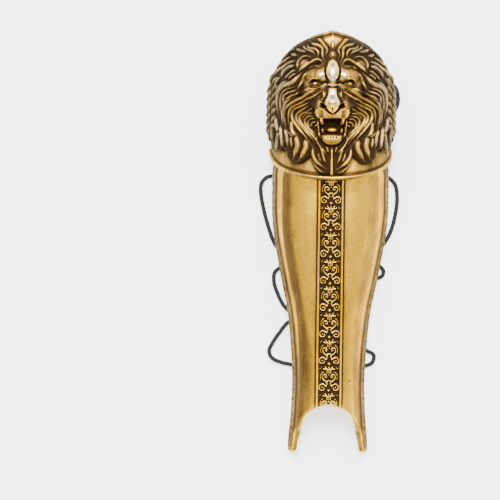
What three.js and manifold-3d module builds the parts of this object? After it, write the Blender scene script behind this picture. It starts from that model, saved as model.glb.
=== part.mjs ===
// A cast greave with a lion-headed knee plate, at a doll's size, lying on its back edges with its front up.
// Millimetres. +Y runs from the ankle to the knee, +Z out of the front, +X to the wearer's left.
// The origin is the middle of the footprint, on the surface that the greave lies on.

import * as THREE from 'three';
import { mergeVertices } from 'three/addons/utils/BufferGeometryUtils.js';
import Module from 'manifold-3d';

const wasm = await Module();
wasm.setup();

// Knee plate, without its relief
const copHeight = 28.4; // from the apex to the middle of the lower rim
const copHalfWidth = 11.2;
const copDepth = 12.35; // front of the plate above the back edges
const copTopFall = 9.9; // how far the top edge drops from the apex to the back edge
const copPeak = 0.25; // small point in the middle of the top edge
const copPeakSpread = 0.2; // radians to each side of it
const copLowRise = 5.4; // how far the lower edge climbs from the middle to the back edge
const copFlare = 0.15; // outward flare at the lower edge
const copFlareReach = 6;
const copFoot = 5.2; // stretch of the back edge that touches the ground
const copFootRun = 1; // and the stretch over which it lifts off
const topRim = { wide: 0.55, high: 0.3 };
const lowRim = { wide: 0.65, high: 0.4 };

// Relief of the mask
const maneRise = 0.75; // edge of the mane above the plate
const faceRise = 1.4; // middle of the face above the plate, less its features
const lockRise = 0.5;
const keelRise = 0.7;
const mouthFloor = 0.3;

// Shin plate
const shinDrop = 51.6; // from the knee plate's lower rim to the tips of the ankle prongs
const shinHalfWidth = 10.6;
const shinDepth = 11.2;
const archHeight = 9.3; // ankle cut above the tips of the prongs
const prongFoot = 3; // stretch of each prong that touches the ground
const prongFootRun = 2;
const lap = 3; // how far the shin runs up under the knee plate
const lapGap = 0.32;
const sideRim = { wide: 1, high: 0.5 };
const bandHalfWidth = 2.25; // middle of the shin to the crest of each long bead
const beadHalfWidth = 0.28;
const beadHeight = 0.3;
const bandSink = 0.25; // the field between the beads lies this far below the panels

// Both plates
const wall = 0.8;
const squareness = 2.3; // 2 makes the sections elliptic, more makes them squarer
const edgeLift = 1.25; // back edges stand this high where cords pass under them

// Scroll ornament on the centre band
const pearlRadius = 0.5;
const pearlPitch = 5.05;
const pearlCount = 8;
const firstPearl = 4.4; // below the knee plate's lower rim

// Cords and the cast loops that they are knotted in
const cordDiameter = 0.8;
const cordStep = 2.7 * cordDiameter;
const knotRadius = 0.9;
const loopRadius = 1.6;
const loopHoleRadius = 0.76;
const loopThickness = 1.2;
const loopStand = 1.35; // centre of a loop to the inner wall
const loopRise = 2.7; // centre of a loop above the ground

// Studs that hold the two plates together
const studRadius = 0.6;
const studHeadRadius = 1.2;
const studHeadThickness = 0.5;
const studAngle = 52; // degrees round from the front
const studClearance = 0.38;

const apexY = (copHeight + shinDrop) / 2;
const copLowY = apexY - copHeight;
const tipY = copLowY - shinDrop;
const backEdge = Math.PI / 2;

const { clamp, degToRad, lerp, radToDeg, smoothstep } = THREE.MathUtils;
const sides = [-1, 1];

// Tables

// Knee plate's half width and depth, as shares of its named sizes, at shares of its height below the apex.
const copSections = [
  { down: 0, halfWidth: 0.8, depth: 0.72 },
  { down: 0.12, halfWidth: 0.88, depth: 0.83 },
  { down: 0.25, halfWidth: 0.945, depth: 0.915 },
  { down: 0.38, halfWidth: 0.985, depth: 0.97 },
  { down: 0.52, halfWidth: 1, depth: 1 },
  { down: 1, halfWidth: 1, depth: 1 },
];

// Shin plate's half width and depth, as shares of its named sizes, at shares of the drop to the prong tips.
const shinSections = [
  { down: 0, halfWidth: 1, depth: 1 },
  { down: 0.13, halfWidth: 0.995, depth: 0.975 },
  { down: 0.22, halfWidth: 0.946, depth: 0.935 },
  { down: 0.3, halfWidth: 0.876, depth: 0.895 },
  { down: 0.39, halfWidth: 0.793, depth: 0.85 },
  { down: 0.47, halfWidth: 0.71, depth: 0.805 },
  { down: 0.57, halfWidth: 0.645, depth: 0.75 },
  { down: 0.65, halfWidth: 0.61, depth: 0.71 },
  { down: 0.74, halfWidth: 0.589, depth: 0.68 },
  { down: 0.82, halfWidth: 0.6, depth: 0.675 },
  { down: 0.91, halfWidth: 0.636, depth: 0.69 },
  { down: 1, halfWidth: 0.667, depth: 0.71 },
];

// Ankle cut: degrees round from the front, and height above the prong tips as a share of archHeight.
const archOutline = [
  { angle: 0, rise: 1 },
  { angle: 14, rise: 0.945 },
  { angle: 24, rise: 0.885 },
  { angle: 34, rise: 0.79 },
  { angle: 42, rise: 0.67 },
  { angle: 48, rise: 0.545 },
  { angle: 54, rise: 0.4 },
  { angle: 59, rise: 0.235 },
  { angle: 63, rise: 0.08 },
  { angle: 69, rise: 0.005 },
  { angle: 80, rise: 0.01 },
  { angle: 90, rise: 0.09 },
];

// The mask is drawn on a grid: 63 squares from the ridge to each side and 149 from the apex down.
const gridAcross = 63;
const gridDown = 149;

// Rounded masses of the face: centre, half width and half height in squares, height as a share of faceRise,
// turn in degrees.
const masses = [
  { across: 0, down: 62, wide: 38, tall: 56, high: 1, turn: 0 },
  { across: 0, down: 43, wide: 8, tall: 17, high: 0.64, turn: 0 },
  { across: 9, down: 44, wide: 6, tall: 10, high: 0.36, turn: -12 },
  { across: 18, down: 43, wide: 11, tall: 7, high: 0.57, turn: 12 },
  { across: 0, down: 70, wide: 9, tall: 22, high: 0.71, turn: 0 },
  { across: 0, down: 78, wide: 21, tall: 17, high: 0.86, turn: 0 },
  { across: 8, down: 82, wide: 11, tall: 9, high: 0.57, turn: 0 },
  { across: 0, down: 108, wide: 16, tall: 9, high: 0.93, turn: 0 },
  { across: 17, down: 52, wide: 10, tall: 5, high: -0.64, turn: 0 },
  { across: 16.5, down: 52, wide: 5, tall: 4, high: 0.43, turn: 0 },
  { across: 24, down: 61, wide: 9, tall: 5, high: 0.36, turn: 25 },
  { across: 8.5, down: 75, wide: 4.5, tall: 2.5, high: -0.57, turn: 25 },
];

// Open mouth: its outline on the grid, and the tongue and fangs that stand on its floor.
const mouthOutline = [
  [0, 88], [8, 88.5], [9, 93], [12, 95], [11.5, 103.5], [0, 104],
];
const mouthForms = [
  { across: 0, down: 100, wide: 6.5, tall: 4, high: 0.86, turn: 0 },
  { across: 9.8, down: 90.5, wide: 2.8, tall: 6, high: 1.7, turn: 8 },
  { across: 9.5, down: 100, wide: 2.2, tall: 5, high: 1.15, turn: 0 },
];

// Edge of the mane on the grid; flank points lie past the front and count squares round the plate's girth.
const maneFront = [
  [0, 21], [6, 15], [13, 8.5], [22, 9], [35, 15], [46, 24.5], [54, 35],
];
const maneFlank = [
  [90, 50], [101, 62], [101, 104], [93, 112], [88, 105], [82, 112], [78, 120],
];
const maneLobes = [
  [51, 121], [49, 118], [46, 121], [45, 127], [41, 131.5], [35, 133], [29, 131.5], [23, 127],
  [20, 123], [18, 129], [13.5, 136], [7, 140.5], [0, 143],
];

// Broad locks of hair, each from its root to its tip: half width in squares, height as a share of lockRise,
// points on the grid.
const locks = [
  { half: 3, high: 0.9, route: [[20, 11], [13, 15], [10, 20], [9, 28], [7, 33]] },
  { half: 3, high: 0.9, route: [[30, 15], [24, 19], [17, 21], [14.5, 27]] },
  { half: 2.8, high: 0.9, route: [[41, 23], [32, 23], [23, 24]] },
  { half: 2.4, high: 1, route: [[36, 42], [36, 34], [28.5, 26], [19, 29]] },
  { half: 2.8, high: 0.9, route: [[10, 35], [16, 30.5], [27, 36.5], [38, 45]] },
  { half: 2.8, high: 0.9, route: [[25, 43], [30.5, 53], [34, 63]] },
  { half: 3, high: 1, route: [[33, 43], [38, 52], [44, 57], [52, 63]] },
  { half: 3, high: 1, route: [[9.5, 58], [22, 66], [41, 77], [45, 86], [44, 101]] },
  { half: 3.2, high: 1, route: [[21, 73], [35, 82], [37, 88], [27, 102], [17, 117]] },
  { half: 3, high: 1, route: [[19, 80], [31, 88], [28, 97], [19, 106], [8, 120]] },
  { half: 2.6, high: 0.9, route: [[15, 87], [23, 87], [26, 91], [24, 97], [17, 103]] },
  { half: 4, high: 1, route: [[34.5, 104], [34, 112], [36, 122], [38, 130]] },
  { half: 4, high: 1, route: [[26.5, 108], [25.5, 117], [29, 126], [32, 131]] },
  { half: 3, high: 0.9, route: [[53, 73], [50, 86], [47, 100], [43, 118]] },
  { half: 3.2, high: 1, route: [[19, 113], [18, 125], [14, 132], [5, 140]] },
];

// Locks on the flanks, with their points in squares round the girth and down.
const flankLocks = [
  { half: 4, high: 1, route: [[66, 42], [76, 50], [88, 56]] },
  { half: 4, high: 1, route: [[68, 54], [80, 63], [97, 69]] },
  { half: 4, high: 1, route: [[70, 68], [80, 78], [97, 84]] },
  { half: 4, high: 1, route: [[70, 82], [78, 93], [92, 101]] },
  { half: 4, high: 1, route: [[70, 96], [75, 108], [80, 117]] },
];

// Plain keel on the brow above the mask and down the beard: half width in squares, height as a share of
// keelRise.
const keels = [
  { half: 2.2, high: 0.85, route: [[0, 1], [0, 8], [0, 20]] },
  { half: 2, high: 1, route: [[0, 112], [0, 128], [0, 143]] },
];

// Loops inside the plates: the knee pair's distance below the apex as a share of copHeight, and the others'
// below the knee plate's lower rim as shares of shinDrop.
const kneeLoops = 0.5;
const shinLoops = { upperCalf: -0.095, lowerCalf: 0.238, ankle: 0.7655 };

// Routes of the cords, from knot to knot: x, y, z in mm.
const cordRoutes = {
  knee: [
    [8.9, 24, 2.7], [8.9, 25.8, 2.7], [8.9, 27, 2.65], [8.95, 28.3, 1.6], [9.5, 29.6, 0.5],
    [10.8, 30.3, 0.42], [12.1, 29.5, 0.42], [12.7, 27.8, 0.42], [12.6, 26.2, 0.42], [11.9, 24.9, 0.42],
    [10.5, 24.3, 0.42], [7.6, 23.2, 0.42], [0, 21.4, 0.42], [-5, 21.1, 0.42], [-8, 21.9, 0.6],
    [-8.8, 23.2, 1.7], [-8.9, 24.5, 2.65], [-8.9, 25.8, 2.7], [-8.9, 27.6, 2.7],
  ],
  upperCalf: [
    [-7.95, 18.3, 2.7], [-7.95, 16.5, 2.7], [-7.95, 15.2, 2.65], [-8.1, 14, 1.6], [-8.9, 12.9, 0.5],
    [-10.6, 12.5, 0.42], [-12.2, 12, 0.42], [-13.1, 10.9, 0.42], [-13.2, 9.2, 0.42],
    [-12.6, 5.9, 0.42], [-11.6, 2.4, 0.42], [-10.4, -0.6, 0.42], [-8.6, -2.3, 0.42],
    [-4.5, -3.3, 0.42], [0, -3.6, 0.42], [4.5, -3.2, 0.42], [8.4, -1.9, 0.42], [10.5, 0, 0.42],
    [11.6, 2.1, 0.42], [12.4, 5.1, 0.42], [12.75, 8.3, 0.42], [12.3, 11, 0.42], [10.8, 12.4, 0.42],
    [8.9, 12.9, 0.5], [8.1, 14, 1.6], [7.95, 15.2, 2.65], [7.95, 16.5, 2.7], [7.95, 18.3, 2.7],
  ],
  lowerCalf: [
    [-7.55, 1.1, 2.7], [-7.55, -0.7, 2.7], [-7.55, -2, 2.65], [-7.6, -3.2, 1.6], [-8.1, -4.4, 0.5],
    [-9.4, -5.1, 0.42], [-10.4, -6, 0.42], [-10.5, -7.9, 0.42], [-9.8, -10, 0.42],
    [-8.5, -12.4, 0.42], [-7.2, -13.4, 0.42], [-5.2, -13.1, 0.42], [0, -10.8, 0.42],
    [5, -8.6, 0.42], [8.6, -7.1, 0.42], [10, -6.5, 0.42], [10.3, -5.5, 0.42], [9.6, -4.7, 0.42],
    [8.2, -4.2, 0.5], [7.6, -3.2, 1.6], [7.55, -2, 2.65], [7.55, -0.7, 2.7], [7.55, 1.1, 2.7],
  ],
  ankle: [
    [-3.9, -29.7, 2.7], [-3.9, -27.9, 2.7], [-3.9, -26.6, 2.65], [-4, -25.3, 1.6],
    [-4.7, -24, 0.5], [-6.4, -23.6, 0.42], [-8.9, -23.1, 0.42], [-10.7, -22.3, 0.42],
    [-11.3, -21, 0.42], [-10.6, -19.3, 0.42], [-9.4, -17.5, 0.42], [-7.9, -15.6, 0.42],
    [-6.5, -15, 0.42], [-4.4, -15.8, 0.42], [0, -18, 0.42], [4, -19.7, 0.42], [7, -20.6, 0.42],
    [8.6, -21.5, 0.42], [8.3, -23, 0.42], [6.6, -23.7, 0.42], [4.7, -24.2, 0.5],
    [4, -25.3, 1.6], [3.9, -26.6, 2.65], [3.9, -27.9, 2.7], [3.9, -29.7, 2.7],
  ],
};

// Relief across the shin's centre band, by distance from the middle, and across its side rims, by rise above
// the back edge.
const bandProfile = [
  { x: 0, high: -bandSink },
  { x: 0.5 * bandHalfWidth, high: -bandSink },
  { x: bandHalfWidth - 1.3 * beadHalfWidth, high: -bandSink },
  { x: bandHalfWidth - beadHalfWidth, high: 0.5 * beadHeight },
  { x: bandHalfWidth, high: beadHeight },
  { x: bandHalfWidth + beadHalfWidth, high: 0.4 * beadHeight },
  { x: bandHalfWidth + 1.5 * beadHalfWidth, high: 0 },
];
const rimProfile = [
  { rise: 1.6 * sideRim.wide, high: 0 },
  { rise: 1.1 * sideRim.wide, high: -0.1 },
  { rise: 0.85 * sideRim.wide, high: 0.7 * sideRim.high },
  { rise: 0.45 * sideRim.wide, high: sideRim.high },
  { rise: 0, high: 0.8 * sideRim.high },
];
const panelSteps = 6;

// One unit of the scroll ornament, the leaf and scroll ends below each pearl: x and wide as shares of
// bandHalfWidth, down and tall as shares of pearlPitch, high as a share of pearlRadius, turn in degrees.
const ornamentLeaves = [
  { x: 0, down: 0.3, wide: 0.2, tall: 0.14, high: 0.84, turn: 0 },
  { x: 0.22, down: 0.575, wide: 0.19, tall: 0.1, high: 0.8, turn: 20 },
  { x: 0.51, down: 0.83, wide: 0.2, tall: 0.1, high: 0.8, turn: 0 },
];

// Plate surfaces

// Smooth reading of a table: the values of its other columns at any place in its key column.
function readerOf(table, key) {
  const names = Object.keys(table[0]).filter((name) => name !== key);
  const places = table.map((row) => row[key]);
  const values = table.flatMap((row) => names.map((name) => row[name]));
  const curve = new THREE.CubicInterpolant(places, values, names.length);
  return (place) => {
    const found = curve.evaluate(clamp(place, places[0], places.at(-1)));
    return Object.fromEntries(names.map((name, i) => [name, found[i]]));
  };
}

const copSharesAt = readerOf(copSections, 'down');
const shinSharesAt = readerOf(shinSections, 'down');
const archAt = readerOf(archOutline, 'angle');

// A point of a half-round section at an angle from the front.
function sectionPoint(angle, halfWidth, depth, y) {
  const across = Math.abs(Math.sin(angle)) / halfWidth;
  const front = Math.abs(Math.cos(angle)) / depth;
  const radius = (across ** squareness + front ** squareness) ** (-1 / squareness);
  return new THREE.Vector3(radius * Math.sin(angle), y, radius * Math.cos(angle));
}

// A surface raised along its own outward normal.
function raised(surface, angle, y, height) {
  const step = 1e-3;
  const round = surface(angle + step, y).sub(surface(angle - step, y));
  const along = surface(angle, y + step).sub(surface(angle, y - step));
  return surface(angle, y).addScaledVector(round.cross(along).normalize(), height);
}

const copTopY = (angle) =>
  apexY - copTopFall * (1 - Math.cos(angle)) - copPeak * smoothstep(Math.abs(angle), 0, copPeakSpread);
const copEdgeY = (angle) => copLowY + copLowRise * (1 - Math.cos(angle));

function copSurface(angle, y) {
  const shares = copSharesAt((apexY - y) / copHeight);
  const flare = copFlare * (1 - smoothstep(y - copEdgeY(angle), -lowRim.wide, copFlareReach));
  return sectionPoint(angle, copHalfWidth * shares.halfWidth + flare, copDepth * shares.depth + flare, y);
}

function copEdgeAngle(y) {
  const foot = copEdgeY(backEdge) + copFoot;
  return Math.atan2(copHalfWidth, edgeLift * smoothstep(y, foot, foot + copFootRun));
}

function shinSection(y) {
  const shares = shinSharesAt((copLowY - y) / shinDrop);
  return {
    halfWidth: shinHalfWidth * shares.halfWidth,
    depth: shinDepth * shares.depth,
    lift: edgeLift * smoothstep(y, tipY + prongFoot, tipY + prongFoot + prongFootRun),
  };
}

// The shin follows its own sections, and under the knee plate that plate's inner face.
function shinSurface(angle, y) {
  const { halfWidth, depth } = shinSection(y);
  const own = sectionPoint(angle, halfWidth, depth, y);
  const under = smoothstep(y, copEdgeY(angle) - lap, copEdgeY(angle));
  return under ? own.lerp(raised(copSurface, angle, y, -wall - lapGap), under) : own;
}

function shinEdgeAngle(y) {
  const { halfWidth, lift } = shinSection(y);
  return Math.atan2(halfWidth, lift);
}

const shinTopY = (angle) => copEdgeY(angle) + lap;
const shinLowY = (angle) =>
  tipY + archHeight * archAt(radToDeg(Math.abs(angle))).rise;

// Relief of the mask

// The grid is laid on the plate by its girth, so that the mask looks right from the front and wraps the sides.
const squareAcross = copHalfWidth / gridAcross;
const squareDown = copHeight / gridDown;
const girthSteps = 90;
const girthTable = [{ angle: 0, x: 0, girth: 0 }];
for (let i = 1; i <= girthSteps; i += 1) {
  const last = girthTable.at(-1);
  const angle = (backEdge * i) / girthSteps;
  const here = sectionPoint(angle, copHalfWidth, copDepth, 0);
  const step = here.distanceTo(sectionPoint(last.angle, copHalfWidth, copDepth, 0));
  girthTable.push({ angle, x: here.x, girth: last.girth + step });
}

function interpolate(table, from, to, value) {
  const next = Math.max(1, table.findIndex((row) => row[from] >= value));
  const [low, high] = value >= table.at(-1)[from] ? table.slice(-2) : [table[next - 1], table[next]];
  return lerp(low[to], high[to], clamp((value - low[from]) / (high[from] - low[from]), 0, 1));
}

const copWidthShare = (down) => copSharesAt(down / gridDown).halfWidth;

function onGirth([across, down]) {
  const share = copWidthShare(down);
  const girth = share * interpolate(girthTable, 'x', 'girth', (across * squareAcross) / share);
  return [girth / squareAcross, down];
}

function gridPlace(angle, y) {
  const down = (apexY - y) / squareDown;
  const girth = copWidthShare(down) * interpolate(girthTable, 'angle', 'girth', Math.abs(angle));
  return [girth / squareAcross, down];
}

// Height of one rounded mass at a place on the grid, in mm.
function massAt([u, v], { across, down, wide, tall, high, turn }) {
  const [centre] = onGirth([across, down]);
  const cos = Math.cos(degToRad(turn));
  const sin = Math.sin(degToRad(turn));
  const a = ((u - centre) * cos + (v - down) * sin) / wide;
  const b = ((v - down) * cos - (u - centre) * sin) / tall;
  return faceRise * high * Math.max(0, 1 - a * a - b * b);
}

// Distance from a place to a polyline, and how far along it the nearest point lies.
function nearest([u, v], line) {
  let best = { distance: Infinity, along: 0 };
  for (let i = 0; i + 1 < line.length; i += 1) {
    const [ax, ay] = line[i];
    const dx = line[i + 1][0] - ax;
    const dy = line[i + 1][1] - ay;
    const t = clamp(((u - ax) * dx + (v - ay) * dy) / (dx * dx + dy * dy), 0, 1);
    const distance = Math.hypot(u - ax - t * dx, v - ay - t * dy);
    if (distance < best.distance) best = { distance, along: (i + t) / (line.length - 1) };
  }
  return best;
}

const smoothLine = (route) =>
  new THREE.SplineCurve(route.map(([u, v]) => new THREE.Vector2(u, v)))
    .getPoints(4 * (route.length - 1))
    .map(({ x, y }) => [x, y]);

// Share of a ridge's full height at a place on the grid; it is thin at its root and tip.
function ridgeAt(place, { half, high, line }) {
  const { distance, along } = nearest(place, line);
  const taper = 0.35 + 0.65 * Math.min(smoothstep(along, 0, 0.2), 1 - smoothstep(along, 0.65, 1));
  return high * taper * Math.max(0, 1 - (distance / (half * taper)) ** 2);
}

// 1 well inside a closed outline and 0 outside, with a slope one or two squares wide.
function insideness(place, outline, slope) {
  const loop = [...outline, outline[0]];
  let inside = false;
  for (let i = 0; i + 1 < loop.length; i += 1) {
    const [ax, ay] = loop[i];
    const [bx, by] = loop[i + 1];
    if (ay <= place[1] !== by <= place[1] && place[0] < ax + ((place[1] - ay) / (by - ay)) * (bx - ax))
      inside = !inside;
  }
  const { distance } = nearest(place, loop);
  return smoothstep(inside ? distance : -distance, -slope, slope);
}

const mirrored = (outline) => [...outline, ...outline.map(([u, v]) => [-u, v]).reverse()];
const maneOutline = mirrored([...maneFront.map(onGirth), ...maneFlank, ...maneLobes.map(onGirth)]);
const mouthLoop = mirrored(mouthOutline.map(onGirth));
const hair = [
  ...locks.map((lock) => ({ ...lock, line: smoothLine(lock.route.map(onGirth)) })),
  ...flankLocks.map((lock) => ({ ...lock, line: smoothLine(lock.route) })),
];

const highestOf = (forms, heightAt) => Math.max(...forms.map(heightAt));

// Height of the whole relief above the plate.
function reliefAt(angle, y) {
  const place = gridPlace(angle, y);
  const [head, ...features] = masses;
  const strands = lockRise * highestOf(hair, (lock) => ridgeAt(place, lock));
  const face = features.reduce((sum, mass) => sum + massAt(place, mass), 0);
  const front = Math.max(maneRise, massAt(place, head)) + strands + face;
  const mask = insideness(place, maneOutline, 2.2) * front;
  const mouth = mouthFloor + highestOf(mouthForms, (form) => massAt(place, form));
  const keel = keelRise * highestOf(keels, (line) => ridgeAt(place, { ...line, line: line.route }));
  return Math.max(keel, lerp(mask, mouth, insideness(place, mouthLoop, 1.4)));
}

// Half-round rim along an edge, with a shallow groove beside it.
function rimAt(distance, { wide, high }) {
  if (distance >= 1.6 * wide) return 0;
  if (distance >= wide) return -0.1;
  return high * Math.sqrt(1 - (distance / wide - 0.4) ** 2 / 0.4);
}

// Solids

// Wall between two edges that run side by side, each a list of points with their indices.
function stitch(outer, inner, points, faces) {
  const sharesOf = (edge) => {
    const sums = [0];
    for (let i = 1; i < edge.length; i += 1)
      sums.push(sums[i - 1] + points[edge[i]].distanceTo(points[edge[i - 1]]));
    return sums.map((sum) => sum / sums.at(-1));
  };
  const outerShares = sharesOf(outer);
  const innerShares = sharesOf(inner);
  let i = 0;
  let j = 0;
  while (i < outer.length - 1 || j < inner.length - 1) {
    const nextOuter = i < outer.length - 1 ? outerShares[i + 1] : Infinity;
    const nextInner = j < inner.length - 1 ? innerShares[j + 1] : Infinity;
    if (nextOuter <= nextInner) {
      faces.push(outer[i + 1], outer[i], inner[j]);
      i += 1;
    } else {
      faces.push(inner[j], inner[j + 1], outer[i]);
      j += 1;
    }
  }
}

// A closed shell from an outer and an inner grid of points, which may be finer or coarser than each other.
function shellSolid(outer, inner) {
  const points = [...outer.flat(), ...inner.flat()];
  const faces = [];
  const skin = (grid, first, outward) => {
    const columns = grid[0].length;
    const at = (row, column) => first + row * columns + column;
    for (let r = 0; r + 1 < grid.length; r += 1) {
      for (let c = 0; c + 1 < columns; c += 1) {
        const [a, b, d, e] = [at(r, c), at(r, c + 1), at(r + 1, c + 1), at(r + 1, c)];
        faces.push(...(outward ? [a, b, d, a, d, e] : [a, d, b, a, e, d]));
      }
    }
    const top = grid.length - 1;
    const right = columns - 1;
    return [
      grid[0].map((_, c) => at(0, c)),
      grid.map((_, r) => at(r, right)),
      grid[0].map((_, c) => at(top, right - c)),
      grid.map((_, r) => at(top - r, 0)),
    ];
  };
  const outerEdges = skin(outer, 0, true);
  const innerEdges = skin(inner, outer.length * outer[0].length, false);
  outerEdges.forEach((edge, i) => stitch(edge, innerEdges[i], points, faces));
  return new wasm.Manifold(
    new wasm.Mesh({
      numProp: 3,
      vertProperties: new Float32Array(points.flatMap((point) => point.toArray())),
      triVerts: new Uint32Array(faces),
    }),
  );
}

function solidOf(geometry) {
  geometry.deleteAttribute('normal');
  geometry.deleteAttribute('uv');
  const merged = mergeVertices(geometry, 1e-4);
  return new wasm.Manifold(
    new wasm.Mesh({
      numProp: 3,
      vertProperties: merged.attributes.position.array,
      triVerts: new Uint32Array(merged.index.array),
    }),
  );
}

function geometryOf(solid) {
  const { vertProperties, triVerts } = solid.getMesh();
  const geometry = new THREE.BufferGeometry();
  geometry.setAttribute('position', new THREE.BufferAttribute(vertProperties, 3));
  geometry.setIndex(new THREE.BufferAttribute(triVerts, 1));
  const flat = geometry.toNonIndexed();
  flat.computeVertexNormals();
  return flat;
}

// Evenly spaced values from one end to the other, both included.
const spread = (from, to, steps) => Array.from({ length: steps + 1 }, (_, i) => lerp(from, to, i / steps));

// Rows of a plate in one column: fixed distances from both ends and even steps between them.
const rowsBetween = (low, high, fromLow, fromHigh, steps) => [
  ...fromLow.map((distance) => low + distance),
  ...spread(low + fromLow.at(-1), high - fromHigh.at(-1), steps).slice(1, -1),
  ...fromHigh.map((distance) => high - distance).reverse(),
];

// Cylinder of a given radius that stands on a plate's surface, between two heights along its normal.
function pin(surface, angle, y, radius, from, to) {
  const foot = raised(surface, angle, y, from);
  const head = raised(surface, angle, y, to);
  const turn = new THREE.Quaternion().setFromUnitVectors(
    new THREE.Vector3(0, 1, 0),
    head.clone().sub(foot).normalize(),
  );
  const geometry = new THREE.CylinderGeometry(radius, radius, foot.distanceTo(head), 12);
  const middle = foot.add(head).multiplyScalar(0.5);
  const place = new THREE.Matrix4().compose(middle, turn, new THREE.Vector3(1, 1, 1));
  return solidOf(geometry.applyMatrix4(place));
}

const inward = -wall - lapGap;
const studY = copEdgeY(degToRad(studAngle)) + lap / 2;
const studHeadFrom = inward - wall - studClearance;

function stud(angle) {
  return pin(copSurface, angle, studY, studRadius, -wall / 2, studHeadFrom - studHeadThickness / 2).add(
    pin(copSurface, angle, studY, studHeadRadius, studHeadFrom, studHeadFrom - studHeadThickness),
  );
}

// Cast loop beside the inner wall, with its eye along the plate.
function loopPlace(surface, direction, y) {
  const inside = raised(surface, direction * Math.atan2(surface(backEdge, y).x, loopRise), y, -wall);
  return new THREE.Vector3(inside.x - direction * loopStand, y, loopRise);
}

function loopParts({ x, y, z }) {
  const cylinder = (radius, thickness, sides) =>
    solidOf(new THREE.CylinderGeometry(radius, radius, thickness, sides).translate(x, y, z));
  return {
    ring: cylinder(loopRadius, loopThickness, 12),
    eye: cylinder(loopHoleRadius, 2 * loopThickness, 8),
  };
}

function withLoops(plate, surface, places) {
  return places
    .flatMap((y) => sides.map((direction) => loopPlace(surface, direction, y)))
    .map(loopParts)
    .reduce((solid, { ring, eye }) => solid.add(ring).subtract(eye), plate);
}

// A plate's skin: points on its surface, column by column of even shares round it, rows from edge to edge.
function skinOf(plate, columns, rowsAt, heightAt) {
  const count = rowsAt(0).length;
  return Array.from({ length: count }, (_, row) =>
    columns.map((share) => {
      const nominal = share * backEdge;
      const y = rowsAt(nominal)[row];
      const angle = share * plate.edgeAngle(y);
      const point = raised(plate.surface, angle, y, heightAt(angle, y, nominal));
      if (Math.abs(share) === 1) point.z = plate.surface(angle, y).z;
      return point;
    }),
  );
}

const cop = { surface: copSurface, edgeAngle: copEdgeAngle };
const shin = { surface: shinSurface, edgeAngle: shinEdgeAngle };
const rimRows = ({ wide }) => [0, 0.4, 0.8, 1, 1.6].map((share) => share * wide);

function kneeCop() {
  const rows = (angle) => rowsBetween(copEdgeY(angle), copTopY(angle), rimRows(lowRim), rimRows(topRim), 31);
  const innerRows = (angle) => rowsBetween(copEdgeY(angle), copTopY(angle), [0, 1.2, 2.4, 3.6], [0], 11);
  const height = (angle, y, nominal) => {
    const rims = rimAt(y - copEdgeY(nominal), lowRim) + rimAt(copTopY(nominal) - y, topRim);
    return rims || reliefAt(angle, y);
  };
  const shell = shellSolid(
    skinOf(cop, spread(-1, 1, 44), rows, height),
    skinOf(cop, spread(-1, 1, 22), innerRows, () => -wall),
  );
  const studded = sides.reduce((solid, direction) => solid.add(stud(direction * degToRad(studAngle))), shell);
  return withLoops(studded, copSurface, [apexY - kneeLoops * copHeight]);
}

// Angles of the shin's columns on one side at a place along it, from the middle to the back edge.
function shinAngles(y) {
  const { halfWidth, depth, lift } = shinSection(y);
  const inFront = ({ x }) =>
    Math.atan2(x, depth * (1 - (x / halfWidth) ** squareness) ** (1 / squareness));
  const aboveEdge = ({ rise }) => Math.atan2(halfWidth, lift + rise);
  const band = bandProfile.map(inFront);
  const rim = rimProfile.map(aboveEdge);
  return [...band, ...spread(band.at(-1), rim[0], panelSteps).slice(1, -1), ...rim];
}

const shinHeights = [
  ...bandProfile.map(({ high }) => high),
  ...Array(panelSteps - 1).fill(0),
  ...rimProfile.map(({ high }) => high),
];

// Where a column meets an edge that is given by the angle round the plate.
function meetingY(column, edgeY, first) {
  let y = first;
  for (let pass = 0; pass < 4; pass += 1) y = edgeY(shinAngles(y)[column]);
  return y;
}

function shinOuterSkin() {
  const half = shinHeights.map((height, column) => {
    const low = meetingY(column, shinLowY, tipY + archHeight / 2);
    const high = meetingY(column, shinTopY, copLowY);
    return rowsBetween(low, high, [0, 0.5], [0, lap / 2, lap, lap + 0.4, lap + 1], 18).map((y) => {
      const angle = shinAngles(y)[column];
      const fade = 1 - smoothstep(y - copEdgeY(angle), -1, -0.4);
      return { angle, y, height: height * fade };
    });
  });
  return half[0].map((_, row) => [
    ...half.slice(1).map((column) => column[row]).reverse()
      .map(({ angle, y, height }) => raised(shinSurface, -angle, y, height)),
    ...half.map((column) => column[row]).map(({ angle, y, height }) => raised(shinSurface, angle, y, height)),
  ]);
}

// Point of the sunk field between the beads.
function onField(x, y, height = 0) {
  const { halfWidth, depth } = shinSection(y);
  const z = depth * (1 - (Math.abs(x) / halfWidth) ** squareness) ** (1 / squareness);
  return new THREE.Vector3(x, y, z - bandSink + height);
}

// One leaf, pearl or scroll end: a small faceted blob, longer one way.
function blob({ x, y, wide, tall, high, turn }) {
  const place = new THREE.Matrix4().compose(
    onField(x, y),
    new THREE.Quaternion().setFromAxisAngle(new THREE.Vector3(0, 0, 1), degToRad(turn)),
    new THREE.Vector3(wide, tall, high),
  );
  return solidOf(new THREE.IcosahedronGeometry(1, 0).applyMatrix4(place));
}

function ornamentUnit(y) {
  const pearl = blob({ x: 0, y, wide: pearlRadius, tall: pearlRadius, high: pearlRadius, turn: 0 });
  const leaves = ornamentLeaves.flatMap(({ x, down, wide, tall, high, turn }) =>
    (x ? sides : [1]).map((way) =>
      blob({
        x: way * x * bandHalfWidth,
        y: y - down * pearlPitch,
        wide: wide * bandHalfWidth,
        tall: tall * pearlPitch,
        high: high * pearlRadius,
        turn: way * turn,
      }),
    ),
  );
  return [pearl, ...leaves];
}

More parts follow.
